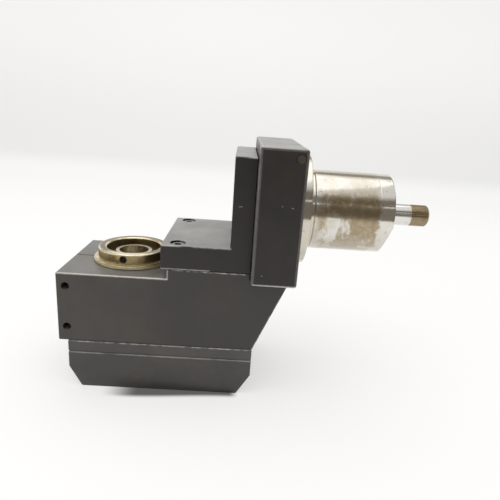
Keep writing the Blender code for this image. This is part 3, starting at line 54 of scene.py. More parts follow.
RUBBED_GAIN = (1.7, 1.64, 1.5)          # how much lighter the finish is where hands have rubbed it
BODY_PAINTED_SHADE = (-0.100, -0.046, 0.55)    # from x, to x, share: painted shade, darker to the right of the body

# Colours shared by several finishes
BARE_STEEL = (0.74, 0.71, 0.65)
DUST_AND_SHEEN_COLOUR = (0.41, 0.395, 0.37)
GRIME_AND_SHADE_COLOUR = (0.006, 0.0055, 0.005)
PAINTED_SHADE_BLACK = (0.0115, 0.0094, 0.0076)
SPECK_COLOUR = (0.11, 0.095, 0.075)
GROUND_TONE = (0.77, 0.755, 0.72)
FILM_COLOUR = (0.47, 0.395, 0.255)
STAIN_COLOUR = (0.335, 0.262, 0.150)
FRECKLE_COLOUR = (0.25, 0.18, 0.11)
BROWNED_DARK = (0.18, 0.13, 0.07)
BROWNED_LIGHT = (0.46, 0.37, 0.24)

# Directions: each lays a piece's own Z axis along X, Y or Z of the world, or turns it upside down
ALONG_X = Matrix.Rotation(math.pi / 2, 4, 'Y')
ALONG_Z = Matrix.Identity(4)
ALONG_Y = Matrix.Rotation(-math.pi / 2, 4, 'X')
HEAD_DOWN = Matrix.Rotation(math.pi, 4, 'X')

# Tool marks across the feed: along X on a shaft, along Z on the head, and upright on ground blocks
MARKS_ON_SHAFT = (900.0, 30.0, 30.0)
MARKS_ON_SHANK = (700.0, 30.0, 30.0)
MARKS_ON_HEAD = (30.0, 30.0, 900.0)
MARKS_ON_BLOCK = (40.0, 40.0, 900.0)
MARKS_INSIDE = (60.0, 60.0, 900.0)

# Fineness and edge breaks
ROUND_SEGMENTS = 128
SMALL_SEGMENTS = 64
EDGE_EASE = 0.00035
FLANGE_ROUND = 0.0019
SMOOTH_ANGLE = math.radians(34)
EDGE_ANGLE = math.radians(28)
WELD = 0.000002
OVERRUN = 0.002             # how far a cutter stands out of the face that it starts from
FIT = 0.0003                # room between a turned step and what sits against it

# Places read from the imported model
COVER_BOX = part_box("lower_cover")
PLATE_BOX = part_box("middle_plate")
HOUSING_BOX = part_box("housing_block")
BRACKET_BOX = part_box("l_bracket")
FLANGE_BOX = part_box("flange_shank")
SHAFT_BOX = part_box("input_shaft")
RING_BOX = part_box("ring_nut")
SLEEVE_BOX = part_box("bearing_sleeve")
SPINDLE_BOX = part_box("spindle")
FACE_PLUG_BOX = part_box("face_plug")
INPUT_Z = (SHAFT_BOX[0].z + SHAFT_BOX[1].z) / 2
SPINDLE_X = (SPINDLE_BOX[0].x + SPINDLE_BOX[1].x) / 2
FRONT = HOUSING_BOX[0].y
SIDES = (FRONT, HOUSING_BOX[1].y)
HOUSING_LEFT = HOUSING_BOX[0].x
HOUSING_TOP = HOUSING_BOX[1].z - 0.0070
STEP_X = BRACKET_BOX[0].x + 0.0046      # where the body steps up to the bracket
BRACKET_FOOT_TOP = BRACKET_BOX[0].z + 0.0177
BRACKET_WALL_LEFT = BRACKET_BOX[1].x - 0.0152
FLANGE_LEFT = FLANGE_BOX[0].x
FLANGE_THICKNESS = 0.0315
FLANGE_RIGHT = FLANGE_LEFT + FLANGE_THICKNESS
SHANK_END = FLANGE_BOX[1].x
STUB_END = SHAFT_BOX[1].x

# Flange, collar and shank
WELL_RADIUS = 0.0055        # wells for the heads of screws and bolts
SCREW_WELL_DEPTH = 0.0063
SCREW_HOLE_RADIUS = 0.0031
BOLT_WELL_DEPTH = 0.0070
BOLT_HOLE_RADIUS = 0.0033
BOLT_INSET = 0.0069
BOLT_HEIGHTS = (0.0104, 0.0834)
PLUG_HOLE = (0.0032, 0.0063)            # radius and depth
BEARING_SEAT = (0.0188, 0.0115)
AXLE_HOLE = (0.0053, 0.0183)
COLLAR_RADIUS = 0.0417
COLLAR_THICKNESS = 0.0074
COLLAR_CHAMFER = 0.0010
COLLAR_ROOT = 0.0040        # how far the collar reaches into the flange
SHANK_RADIUS = 0.0300
SHANK_BORE_RADIUS = 0.0132
SHANK_LINE = 0.0106         # scribed line, from the shank's end
UNDERCUT_LENGTH = 0.0036
UNDERCUT_DEPTH = 0.0007
END_FLAT = (0.0039, 0.0086, math.radians(-39.6))    # length along the shank, depth, turn about it

# Drive stub
STUB_RADIUS = 0.0082
SERRATION_LENGTH = 0.0140
SERRATION_COUNT = 32
SERRATION_DEPTH = 0.00035
SERRATION_HALF_WIDTH = 0.00052

# Spindle head
RING_BORE_RADIUS = 0.0205
RING_HEAD_HEIGHT = 0.0073
RING_CHAMFER = 0.0009
HOLE_RADIUS = 0.0024
HOLE_HEIGHT = 0.0032        # above the head's lower face
HOLE_DEPTH = 0.0044
HOLE_MOUTH_RADIUS = 0.0034
HOLE_COUNT = 4
FIRST_HOLE_ANGLE = math.radians(-94.5)
SLEEVE_RADIUS = 0.0277
SLEEVE_BORE_RADIUS = 0.0210
SLEEVE_RIM_HEIGHT = 0.0030
SLEEVE_RIM_STEP = 0.0010
SLEEVE_WINDOW_RADIUS = 0.0149
NOSE_RADIUS = 0.0140
COLLET_MOUTH_RADIUS = 0.01116
COLLET_DEPTH = 0.0150
COLLET_ANGLE = math.radians(8)

# Ball bearings: direction, bore radius and the body that the inner race turns with
BEARINGS = {
    "input_bearing": (ALONG_X, 0.0100, "input_shaft"),
    "cross_left_bearing": (ALONG_X, 0.0075, "cross_shaft"),
    "cross_right_bearing": (ALONG_X, 0.0075, "cross_shaft"),
    "upper_spindle_bearing": (ALONG_Z, 0.0125, "spindle"),
    "lower_spindle_bearing": (ALONG_Z, 0.0060, "spindle"),
}
BALL_COUNT = 8
RACE_SHARE = 0.20           # of the wall between bore and outside
GROOVE_SHARES = (0.06, 0.55)            # its depth, of the wall, and half its width, of a ball's radius
SHIELD_SHARES = (0.86, 0.95)            # from and to, of half the bearing's width
SHIELD_GAP = 0.0004
CAGE_SHARES = (0.08, 0.26)              # half its thickness, of the wall, and half its width, of the width

# Cap screws: axis, side of the head, direction, how far the top is sunk, and the head, which is given by its
# radius, its height and the shank's radius
LARGE_HEAD = (0.0047, 0.0057, 0.0028)
SMALL_HEAD = (0.0040, 0.0048, 0.0026)
CAP_SCREWS = {
    "bracket_screw": (2, 1, ALONG_Z, 0.0007, LARGE_HEAD),
    "cover_screw": (2, -1, HEAD_DOWN, 0.0, LARGE_HEAD),
    "clamp_screw": (1, 1, ALONG_Y, 0.0, SMALL_HEAD),
    "flange_screw": (0, 1, ALONG_X, 0.0, LARGE_HEAD),
}
SOCKET_SHARE = 0.58         # of the head's radius, to the socket's corners
SOCKET_DEPTH = 0.0026
KNURL_INSET = 0.00025
KNURL_COUNT = 28

# Studio
FLOOR_GLOW = 0.515
WALL_GLOW = 0.56
WALL_FOOT_SHADE = 0.105
PAPER = (0.46, 0.457, 0.452)
SHADED_PAPER = (0.10, 0.094, 0.088)
ROOM_LIGHT = (0.88, 0.88, 0.88)
ROOM_DARK = (0.218, 0.196, 0.168)
ROOM_BEHIND = (0.42, 0.40, 0.36)
WINDOW_LIGHT = (1.8, 1.8, 1.8)
WINDOW_HEIGHT = 0.4415      # of the slit, and half its width, as directions
WINDOW_HALF_WIDTH = 0.011
SEEN_WHITE = (0.97, 0.97, 0.96)
LAMP_AIM = Vector((0.0, 0.0, 0.1))

FLOAT = "NodeSocketFloat"
VECTOR = "NodeSocketVector"


# Small helpers for node trees
class Value:
    """A socket of a node tree. Each sign of plain arithmetic on it adds one Math node."""

    def __init__(self, socket):
        self.socket = socket
        self.tree = socket.id_data

    def maths(self, operation, other=0.0, swapped=False):
        values = (other, self) if swapped else (self, other)
        made = add(self.tree, "ShaderNodeMath", dict(enumerate(values)), operation=operation)
        return Value(made.outputs[0])

    def __add__(self, other):
        return self.maths('ADD', other)

    def __sub__(self, other):
        return self.maths('SUBTRACT', other)

    def __rsub__(self, other):
        return self.maths('SUBTRACT', other, swapped=True)

    def __mul__(self, other):
        return self.maths('MULTIPLY', other)

    def __truediv__(self, other):
        return self.maths('DIVIDE', other)

    def lowest(self, other):
        return self.maths('MINIMUM', other)

    def highest(self, other):
        return self.maths('MAXIMUM', other)

    def clamped(self):
        """The same result, kept between 0 and 1 by its own Math node."""
        self.socket.node.use_clamp = True
        return self

    def ramp(self, low, high, start=0.0, end=1.0):
        """A soft step from start, at low, to end, at high."""
        values = {"Value": self, "From Min": low, "From Max": high, "To Min": start, "To Max": end}
        made = add(self.tree, "ShaderNodeMapRange", values, interpolation_type='SMOOTHSTEP')
        return Value(made.outputs["Result"])

    def noise(self, scale, detail=3.0, roughness=0.55):
        values = {"Vector": self, "Scale": scale, "Detail": detail, "Roughness": roughness}
        return Value(add(self.tree, "ShaderNodeTexNoise", values).outputs["Fac"])

    def scaled(self, scale, offset=(0.0, 0.0, 0.0)):
        values = {"Vector": self, "Scale": scale, "Location": offset}
        return Value(add(self.tree, "ShaderNodeMapping", values).outputs["Vector"])

    def vector_maths(self, operation, other=None, output="Vector"):
        values = {0: self} if other is None else {0: self, 1: other}
        return Value(add(self.tree, "ShaderNodeVectorMath", values, operation=operation).outputs[output])

    def dot(self, other):
        return self.vector_maths('DOT_PRODUCT', other, "Value")

    def parts(self):
        """X, Y and Z of a position or a direction."""
        return [Value(part) for part in add(self.tree, "ShaderNodeSeparateXYZ", {0: self}).outputs]


def fill(target, value):
    """Link an input to a value, or set it to a constant; a constant colour comes without its alpha."""
    if isinstance(value, Value):
        value = value.socket
    if isinstance(value, bpy.types.NodeSocket):
        target.id_data.links.new(value, target)
    elif target.type == 'RGBA':
        target.default_value = (*value, 1.0)
    else:
        target.default_value = value


def add(tree, kind, values=None, **settings):
    """A node with its settings; values are constants or sockets, by input name or number."""
    made = tree.nodes.new(kind)
    for key, value in settings.items():
        setattr(made, key, value)
    for key, value in (values or {}).items():
        fill(made.inputs[key], value)
    return made


def blend(share, first, second):
    """A colour between two, by a mask."""
    made = add(share.tree, "ShaderNodeMix", {0: share, 6: first, 7: second}, data_type='RGBA')
    return Value(made.outputs[2])


def new_group(name, output, **inputs):
    """A shader group, in which an input without a number is a vector; returns its inputs in order."""
    tree = bpy.data.node_groups.new(name, "ShaderNodeTree")
    for label, value in inputs.items():
        kind = VECTOR if value is None else FLOAT
        socket = tree.interface.new_socket(label, in_out='INPUT', socket_type=kind)
        if value is not None:
            socket.default_value = value
    tree.interface.new_socket(output, in_out='OUTPUT', socket_type=FLOAT)
    start = tree.nodes.new("NodeGroupInput")
    return [Value(start.outputs[label]) for label in inputs]


def close_group(result):
    """Put out a group's result; returns the group."""
    end = result.tree.nodes.new("NodeGroupOutput")
    fill(end.inputs[0], result)
    return result.tree


def use_group(shared, place, **values):
    """Place a shared group in the tree of a position; returns what it puts out."""
    made = add(place.tree, "ShaderNodeGroup", node_tree=shared)
    for label, value in {"Position": place, **values}.items():
        fill(made.inputs[label], value)
    return Value(made.outputs[0])


def make_line_distance():
    """How far a point is from a straight edge between two corners."""
    place, start, end = new_group("line_distance", "Distance", Position=None, Start=None, End=None)
    along = end.vector_maths('SUBTRACT', start)
    away = place.vector_maths('SUBTRACT', start)
    share = (away.dot(along) / along.dot(along)).clamped()
    foot = along.vector_maths('SCALE')
    fill(foot.socket.node.inputs["Scale"], share)
    return close_group(away.vector_maths('SUBTRACT', foot).vector_maths('LENGTH', output="Value"))


def make_worn_edge():
    """Bright wear that breaks up irregularly within Reach of an edge."""
    place, distance, reach, ragged, patch, cover = new_group(
        "worn_edge", "Mask", Position=None, Distance=1.0, Reach=0.0012, Ragged=0.0018, Patches=55.0,
        Cover=0.5)
    near = distance + (place.noise(900.0, 4.0, 0.7) - 0.5) * ragged
    band = (1.0 - near / reach).clamped()
    gate = (place.noise(patch, 2.0) + cover).ramp(0.75, 1.1)
    return close_group((band * gate).clamped())


def make_patches():
    """Soft-edged irregular patches, such as greasy stains or a worn finish."""
    place, scale, amount, softness, detail = new_group(
        "patches", "Mask", Position=None, Scale=30.0, Amount=0.5, Softness=0.1, Detail=4.0)
    level = place.noise(scale, detail, 0.6) + (amount - 0.5)
    return close_group(level.ramp(0.5 - softness, softness + 0.5))


def make_tool_marks():
    """Fine lines left by grinding or turning; Stretch squeezes them across the feed."""
    place, stretch = new_group("tool_marks", "Height", Position=None, Stretch=None)
    return close_group(place.vector_maths('MULTIPLY', stretch).noise(1.0, 3.0, 0.65))


def make_dust_and_sheen():
    """Dust and dried grease that settle on faces that look up, with painted sheen, from the surface's own
    normal.
    """
    place, normal, amount = new_group("settled_dust", "Mask", Position=None, Normal=None, Amount=0.5)
    facing = normal.parts()[2].ramp(0.55, 0.95)
    cloud = place.noise(38.0, 5.0, 0.62).ramp(0.25, 0.75)
    streak = place.scaled((30.0, 220.0, 30.0)).noise(1.0, 4.0, 0.6).ramp(0.3, 0.7)
    return close_group((facing * amount * (cloud * 0.34 + streak * 0.06 + 0.6)).clamped())


LINE_DISTANCE = make_line_distance()
WORN_EDGE = make_worn_edge()
PATCHES = make_patches()
TOOL_MARKS = make_tool_marks()
DUST_AND_SHEEN_GROUP = make_dust_and_sheen()


# Materials
class Look:
    """A material in the making: its shader, and position and normal on the object's own axes."""

    def __init__(self, name):
        self.material = bpy.data.materials.new(name)
        self.material.use_nodes = True
        self.tree = self.material.node_tree
        self.shader = self.tree.nodes["Principled BSDF"]
        coordinates = self.tree.nodes.new("ShaderNodeTexCoord")
        self.place = Value(coordinates.outputs["Object"])
        self.normal = Value(coordinates.outputs["Normal"])

    def patches(self, scale, amount, softness, detail=4.0):
        return use_group(PATCHES, self.place, Scale=scale, Amount=amount, Softness=softness, Detail=detail)

    def tool_marks(self, stretch):
        return use_group(TOOL_MARKS, self.place, Stretch=stretch)

    def settled_dust(self, amount):
        return use_group(DUST_AND_SHEEN_GROUP, self.place, Normal=self.normal, Amount=amount)

    def finished(self, height, strength, distance, **inputs):
        """Give the shader a fine bump and its inputs; returns the material."""
        relief = {"Height": height, "Strength": strength, "Distance": distance}
        bump = add(self.tree, "ShaderNodeBump", relief)
        for label, value in {"Normal": bump.outputs["Normal"], **inputs}.items():
            fill(self.shader.inputs[label.replace("_", " ")], value)
        return self.material


def worn_lines(place, lines, reach, ragged, cover, patch):
    """One wear mask for a list of edges, each from corner to corner."""
    distance = None
    for start, end in lines:
        here = use_group(LINE_DISTANCE, place, Start=start, End=end)
        distance = here if distance is None else distance.lowest(here)
    return use_group(WORN_EDGE, place, Distance=distance, Reach=reach, Ragged=ragged, Cover=cover,
                     Patches=patch)


def spread_mask(place, lines, fade=0.85):
    """A mask along lines, each given by its two ends and how far it spreads; it is full up to fade of that.
    """
    mask = 0.0
    for start, end, reach in lines:
        mask = use_group(LINE_DISTANCE, place, Start=start, End=end).ramp(reach, reach * fade).highest(mask)
    return mask


def blackened_steel(name, tone, bright=(), faint=(), dashes=(), nicks=(), grime_and_shade_lines=(), pale=(), dust_and_sheen=0.5,
                    gloss=0.5, coat=0.3, edge=0.0, faint_share=0.9, flecks=0.18, painted_shade=None):
    """Black oxide on ground steel. Bright, faint and dashes are its worn edges, nicks its bare spots.

    The grime_and_shade_lines (start, end, reach) hold dirt in joints and painted shade in screw wells; the
    pale lines, of the same form, are painted sheen and a painted reflection; painted_shade (from x, to x,
    share) is painted shade to the right."""
    look = Look(name)
    place = look.place
    worn = place.noise(420.0, 4.0, 0.7) * edge
    for lines, reach, ragged, cover, patch, share in ((bright, 0.0013, 0.0011, 0.85, 55.0, 1.0),
                                                      (faint, 0.0012, 0.0016, 0.45, 55.0, faint_share),
                                                      (dashes, 0.0010, 0.0017, 0.42, 210.0, 1.0),
                                                      (nicks, 0.0005, 0.0006, 0.8, 55.0, 0.35)):
        if lines:
            worn = worn.highest(worn_lines(place, lines, reach, ragged, cover, patch) * share)
    # Dark lines: dirt in joints, and painted shade in screw wells.
    grime_and_shade = spread_mask(place, grime_and_shade_lines)
    worn = worn * (1.0 - grime_and_shade)
    rubbed_or_highlit = look.patches(scale=26.0, amount=0.47, softness=0.20, detail=6.0)
    speck = look.patches(scale=260.0, amount=0.20, softness=0.03)
    fleck = look.patches(scale=620.0, amount=flecks, softness=0.14)
    # Dust with a painted sheen lightens faces that look up.
    dust_and_sheen_level = look.settled_dust(dust_and_sheen)
    # Pale lines add painted sheen and a painted reflection, broken up by noise.
    if pale:
        sheen_breakup = place.noise(120.0, 4.0, 0.6).ramp(0.32, 0.62, 0.16, 0.46)
        dust_and_sheen_level = dust_and_sheen_level.highest(spread_mask(place, pale, fade=0.5) * sheen_breakup)
    dust_and_sheen_level = dust_and_sheen_level * (1.0 - fleck * 0.22)
    marks = look.tool_marks(MARKS_ON_BLOCK)
    grain = place.noise(1500.0, 3.0, 0.6)
    colour = blend(rubbed_or_highlit, tone, [channel * gain for channel, gain in zip(tone, RUBBED_GAIN)])
    # Painted shade: the colour darkens towards the right, from start to end.
    if painted_shade is not None:
        start, end, share = painted_shade
        colour = blend(place.parts()[0].ramp(start, end, 0.0, share), colour, PAINTED_SHADE_BLACK)
    colour = blend(speck * 0.5, colour, SPECK_COLOUR)
    colour = blend(dust_and_sheen_level, colour, DUST_AND_SHEEN_COLOUR)
    colour = blend(worn, colour, BARE_STEEL)
    if grime_and_shade_lines:
        colour = blend(grime_and_shade, colour, GRIME_AND_SHADE_COLOUR)
    rough = grain * 0.14 + marks * 0.08 + rubbed_or_highlit * 0.08 + grime_and_shade * 0.35 + 0.29
    return look.finished(grain + marks * 0.6, 0.10, 0.0002, Base_Color=colour, Roughness=rough,
                         Metallic=worn * 0.85, Specular_IOR_Level=gloss, Coat_Weight=coat,
                         Coat_Roughness=0.32)


def ground_steel(name, stretch, stain=0.5, tone=GROUND_TONE, rough=0.10, zone=None, dull=None):
    """Bright ground steel. Stain sits in the zone (from x, to x, lowest z); dull is a serration's start."""
    look = Look(name)
    place = look.place
    along, _across, up = place.parts()
    marks = look.tool_marks(stretch)
    amount = stain
    if zone is not None:
        start, end, floor = zone
        amount = along.ramp(start, end, stain - 0.03, stain + 0.07)
    drips = place.scaled((1.0, 1.0, 0.45), (0.013, 0.0, 0.004))
    cloud = use_group(PATCHES, drips, Scale=62.0, Amount=amount, Softness=0.06, Detail=8.0)
    film = look.patches(scale=24.0, amount=stain + 0.05, softness=0.09)
    freckle = look.patches(scale=240.0, amount=stain - 0.17, softness=0.04)
    haze = look.patches(scale=12.0, amount=0.5, softness=0.25)
    if zone is not None:
        crown = floor + 2 * SHANK_RADIUS
        wander = along + (place.noise(110.0, 5.0, 0.65) - 0.5) * 0.014
        inside = wander.ramp(start, start + 0.008) * wander.ramp(end + 0.0006, end - 0.0024)
        inside = inside * up.ramp(floor, floor + 0.022, 0.35, 1.0)
        cloud = cloud * (inside * up.ramp(crown - 0.009, crown - 0.016, 0.2, 1.0))
        film = film.highest(along.ramp(start - 0.001, start - 0.004, 0.0, 0.85))
        film = film * wander.ramp(end - 0.005, end + 0.004, 1.0, 0.55)
    colour = blend(haze, tone, [channel * 0.86 for channel in tone])
    colour = blend(film * 0.42, colour, FILM_COLOUR)
    mottle = place.noise(260.0, 5.0, 0.7).ramp(0.30, 0.62, 0.76, 1.0)
    colour = blend(cloud * 0.95 * mottle, colour, STAIN_COLOUR)
    colour = blend(freckle * 0.45, colour, FRECKLE_COLOUR)
    roughness = cloud * 0.12 + marks * 0.06 + rough
    if dull is not None:
        ragged = (place.noise(500.0) - 0.5) * 0.0008
        serrated = (along + ragged).ramp(dull - 0.0003, dull + 0.0003)
        colour = blend(serrated, colour, blend(place.noise(330.0, 4.0, 0.7), BROWNED_DARK, BROWNED_LIGHT))
        roughness = roughness + serrated * 0.13
    return look.finished(marks, 0.06, 0.0001, Base_Color=colour, Roughness=roughness, Metallic=1.0)


def plain_metal(name, tone, dark, rough, stretch=MARKS_INSIDE, metallic=1.0, blotch=30.0, soft=0.2, top=None,
                shaded=None, front_top_highlight=None):
    """Oiled inner steel, bronze, brass-toned steel or black screws: two tones in blotches and tool marks.

    Top is a lighter colour for faces that look up. Shaded (from x, to x, colour) is a browner side of painted
    shade, and front_top_highlight (from y, to y, colour) is a painted highlight on the front of a top face."""
    look = Look(name)
    along, across, _up = look.place.parts()
    marks = look.tool_marks(stretch)
    colour = blend(look.patches(scale=blotch, amount=0.5, softness=soft), tone, dark)
    if shaded is not None:
        # Painted shade: one side turns browner and darker.
        start, end, brown = shaded
        colour = blend(along.ramp(start, end, 0.0, 0.85), colour, brown)
    if top is not None:
        colour = blend(look.settled_dust(0.8), colour, top)
    if front_top_highlight is not None:
        # Painted highlight on the front of a top face.
        start, end, rubbed_or_highlit = front_top_highlight
        near = across.ramp(start, end) * look.normal.parts()[2].ramp(0.3, 0.9)
        colour = blend(near * 0.9, colour, rubbed_or_highlit)
    return look.finished(marks, 0.10, 0.0001, Base_Color=colour, Roughness=marks * 0.12 + rough,
                         Metallic=metallic)


def seal_rubber():
    look = Look("seal_rubber")
    grain = look.place.noise(2200.0, 2.0)
    cloud = look.patches(scale=90.0, amount=0.5, softness=0.2)
    colour = blend(cloud, (0.020, 0.019, 0.018), (0.045, 0.040, 0.034))
    return look.finished(grain, 0.15, 0.0001, Base_Color=colour, Roughness=grain * 0.2 + 0.55)


# Meshes
def new_piece(name, mesh):
    piece = bpy.data.objects.new(name, mesh)
    bpy.context.scene.collection.objects.link(piece)
    return piece


def shaped(name, shape, turn=ALONG_Z):
    """A piece from a finished bmesh shape, turned into its place."""
    mesh = bpy.data.meshes.new(name)
    shape.to_mesh(mesh)
    shape.free()
    mesh.transform(turn)
    return new_piece(name, mesh)


def block(name, low, high, turn=ALONG_Z):
    """A plain box between two corners."""
    shape = bmesh.new()
    bmesh.ops.create_cube(shape, size=1.0)
    bmesh.ops.scale(shape, vec=high - low, verts=shape.verts)
    bmesh.ops.translate(shape, vec=(low + high) / 2, verts=shape.verts)
    return shaped(name, shape, turn)


def prism(name, outline, low, high):
    """An upright bar over a closed outline of (x, y) points."""
    shape = bmesh.new()
    bottom = [shape.verts.new((x, y, low)) for x, y in outline]
    top = [shape.verts.new((x, y, high)) for x, y in outline]
    shape.faces.new(list(reversed(bottom)))
    shape.faces.new(top)
    for index in range(len(outline)):
        ahead = (index + 1) % len(outline)
        shape.faces.new((bottom[index], bottom[ahead], top[ahead], top[index]))
    return shaped(name, shape)


def joined(name, pieces):
    """One object from several, keeping each one's material slots by number."""
    shape = bmesh.new()
    for piece in pieces:
        old = piece.data
        shape.from_mesh(old)
        bpy.data.objects.remove(piece)
        bpy.data.meshes.remove(old)
    return shaped(name, shape)


def settled(piece):
    """Turn a piece's modifiers into its mesh."""
    graph = bpy.context.evaluated_depsgraph_get()
    mesh = bpy.data.meshes.new_from_object(piece.evaluated_get(graph))
    piece.modifiers.clear()
    old = piece.data
    piece.data = mesh
    mesh.name = piece.name
    bpy.data.meshes.remove(old)
    return piece


def shade(piece):
    """Shade a piece smooth up to its sharp edges."""
    piece.data.shade_smooth()
    piece.data.set_sharp_from_angle(angle=SMOOTH_ANGLE)
    return piece


def hardened(piece):
    """Keep large faces flat in the light: broken edges alone take up the turn of the normals."""
    shade(settled(piece))
    level = piece.modifiers.new("Flat faces", 'WEIGHTED_NORMAL')
    level.weight = 100
    level.keep_sharp = True
    return settled(piece)


def eased(profile, ease):
    """Ease each corner of a closed profile of (radius, height) points; a third value marks a worn face."""
    points = []
    count = len(profile)
    for index in range(count):
        before = Vector(profile[index - 1][:2])
        here = Vector(profile[index][:2])
        after = Vector(profile[(index + 1) % count][:2])
        rubbed_or_highlit = len(profile[index]) > 2
        back = before - here
        forth = after - here
        turn = abs(math.atan2(back.x * forth.y - back.y * forth.x, back.dot(forth)))
        reach = min(ease, back.length * 0.4, forth.length * 0.4)
        if here.x < WELD or turn > math.radians(165) or reach < WELD:
            points.append((here.x, here.y, rubbed_or_highlit))
            continue
        first = here + back.normalized() * reach
        last = here + forth.normalized() * reach
        middle = (first + last) / 4 + here / 2
        points += [(first.x, first.y, True), (middle.x, middle.y, True), (last.x, last.y, rubbed_or_highlit)]
    return points


def turned(name, profile, centre, direction, segments=ROUND_SEGMENTS, ease=EDGE_EASE, worn_slot=1):
    """A closed (radius, height) profile turned about its own axis; eased corners get the worn slot."""
    points = eased(profile, ease)
    shape = bmesh.new()
    rings = []
    for radius, height, _worn in points:
        if radius < WELD:
            rings.append([shape.verts.new((0.0, 0.0, height))])
            continue
        ring = []
        for step in range(segments):
            angle = 2 * math.pi * step / segments
            ring.append(shape.verts.new((radius * math.cos(angle), radius * math.sin(angle), height)))
        rings.append(ring)
    for index, ring in enumerate(rings):
        following = rings[(index + 1) % len(rings)]
        if len(ring) == 1 and len(following) == 1:
            continue
        for step in range(segments):
            ahead = (step + 1) % segments
            corners = [ring[step % len(ring)], ring[ahead % len(ring)],
                       following[ahead % len(following)], following[step % len(following)]]
            face = shape.faces.new(list(dict.fromkeys(corners)))
            face.material_index = worn_slot if points[index][2] else 0
    bmesh.ops.recalc_face_normals(shape, faces=shape.faces)
    return hardened(shaped(name, shape, Matrix.Translation(centre) @ direction))


def cut(piece, cutter, slot=None):
    """Cut a piece; the new faces get the material slot, where one is given."""
    if slot is not None:
        for face in cutter.data.polygons:
            face.material_index = slot
        for mesh in (piece.data, cutter.data):
            while len(mesh.materials) <= slot:
                mesh.materials.append(None)
    step = piece.modifiers.new("Cut", 'BOOLEAN')
    step.solver = 'EXACT'
    step.object = cutter
    settled(piece)
    mesh = cutter.data
    bpy.data.objects.remove(cutter)
    bpy.data.meshes.remove(mesh)
    return piece


def drill(piece, centre, direction, *steps, slot=None):
    """Cut round steps, each given by its radius and where it starts and ends along the direction."""
    for radius, low, high in steps:
        profile = [(0.0, low), (radius, low), (radius, high), (0.0, high)]
        cut(piece, turned("cutter", profile, centre, direction, SMALL_SEGMENTS, ease=0.0), slot)


def eased_copy(node, name):
    """A copy of a CAD block, welded, with its outer edges broken finer."""
    low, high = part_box(node)
    mesh = NODES[node].data.copy()
    mesh.name = name
    mesh.materials.clear()
    shape = bmesh.new()
    shape.from_mesh(mesh)
    bmesh.ops.remove_doubles(shape, verts=shape.verts, dist=WELD)
    bmesh.ops.dissolve_limit(shape, angle_limit=math.radians(0.5), verts=shape.verts, edges=shape.edges)
    weights = shape.edges.layers.float.new("bevel_weight_edge")
    skin = 0.0008
    for edge in shape.edges:
        if len(edge.link_faces) != 2 or edge.calc_face_angle(0.0) < EDGE_ANGLE or not edge.is_convex:
            continue
        middle = (edge.verts[0].co + edge.verts[1].co) / 2
        near = any(middle[axis] - low[axis] < skin or high[axis] - middle[axis] < skin for axis in range(3))
        if near or edge.calc_length() > 0.03:
            edge[weights] = 1.0
    shape.to_mesh(mesh)
    shape.free()
    mesh.update()
    piece = new_piece(name, mesh)
    edges = piece.modifiers.new("Edges", 'BEVEL')
    edges.width = EDGE_EASE
    edges.segments = 3
    edges.limit_method = 'WEIGHT'
    edges.use_clamp_overlap = True
    return hardened(piece)


def carry(piece, body, slot, *materials, nodes=()):
    """Give a piece its materials, the body that it rides on and the CAD nodes that it stands for."""
    slots = [face.material_index for face in piece.data.polygons]
    piece.data.materials.clear()
    for material in materials:
        piece.data.materials.append(material)
    piece.data.polygons.foreach_set("material_index", [min(number, len(materials) - 1) for number in slots])
    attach(piece, body)
    if nodes:
        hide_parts(*nodes)
    return piece


# Black steel blocks
def level_line(left, right, z, y):
    return Vector((left, y, z)), Vector((right, y, z))


def upright_line(x, low, high, y):
    return Vector((x, y, low)), Vector((x, y, high))


def dress_block(node, name, finish):
    carry(eased_copy(node, name), "housing", "blackened_steel", finish, nodes=[node])


def dress_cover_and_plate():
    left, right = COVER_BOX[0].x, COVER_BOX[1].x
    lines = [level_line(left, right, COVER_BOX[1].z, side) for side in SIDES]
    dress_block("lower_cover", "cover_block",
                blackened_steel("cover_black", COVER_TONE, faint=lines, faint_share=0.45))
    lines = [level_line(left, right, PLATE_BOX[1].z, side) for side in SIDES]
    dress_block("middle_plate", "plate_block", blackened_steel("plate_black", PLATE_TONE, dashes=lines))


def dress_body():
    left, right = HOUSING_LEFT, COVER_BOX[1].x
    bottom, top = HOUSING_BOX[0].z, HOUSING_BOX[1].z
    bright = [level_line(left, STEP_X, HOUSING_TOP, side) for side in SIDES]
    faint = [upright_line(STEP_X, HOUSING_TOP, top, FRONT),
             upright_line(left, bottom, HOUSING_TOP, SIDES[1]),
             (Vector((left, FRONT, HOUSING_TOP)), Vector((left, SIDES[1], HOUSING_TOP)))]
    slope_top = FLANGE_BOX[0].z - 0.0009
    dashes = [(Vector((right, side, bottom)), Vector((HOUSING_BOX[1].x, side, slope_top))) for side in SIDES]
    dashes += [level_line(STEP_X, BRACKET_BOX[1].x, top, side) for side in SIDES]
    dark_lines = [(*level_line(left, right, bottom, side), 0.0007) for side in SIDES]
    # A painted reflection of the ring on the body's top, beside the ring.
    above = HOUSING_TOP + 0.0098
    ring_reflection = (Vector((STEP_X - 0.008, FRONT + 0.0090, above)), Vector((STEP_X - 0.006, -0.012, above)),
                   0.0130)
    dress_block("housing_block", "body_block",
                blackened_steel("body_black", BODY_TONE, bright, faint, dashes, grime_and_shade_lines=dark_lines,
                                pale=[ring_reflection], dust_and_sheen=0.33, painted_shade=BODY_PAINTED_SHADE))


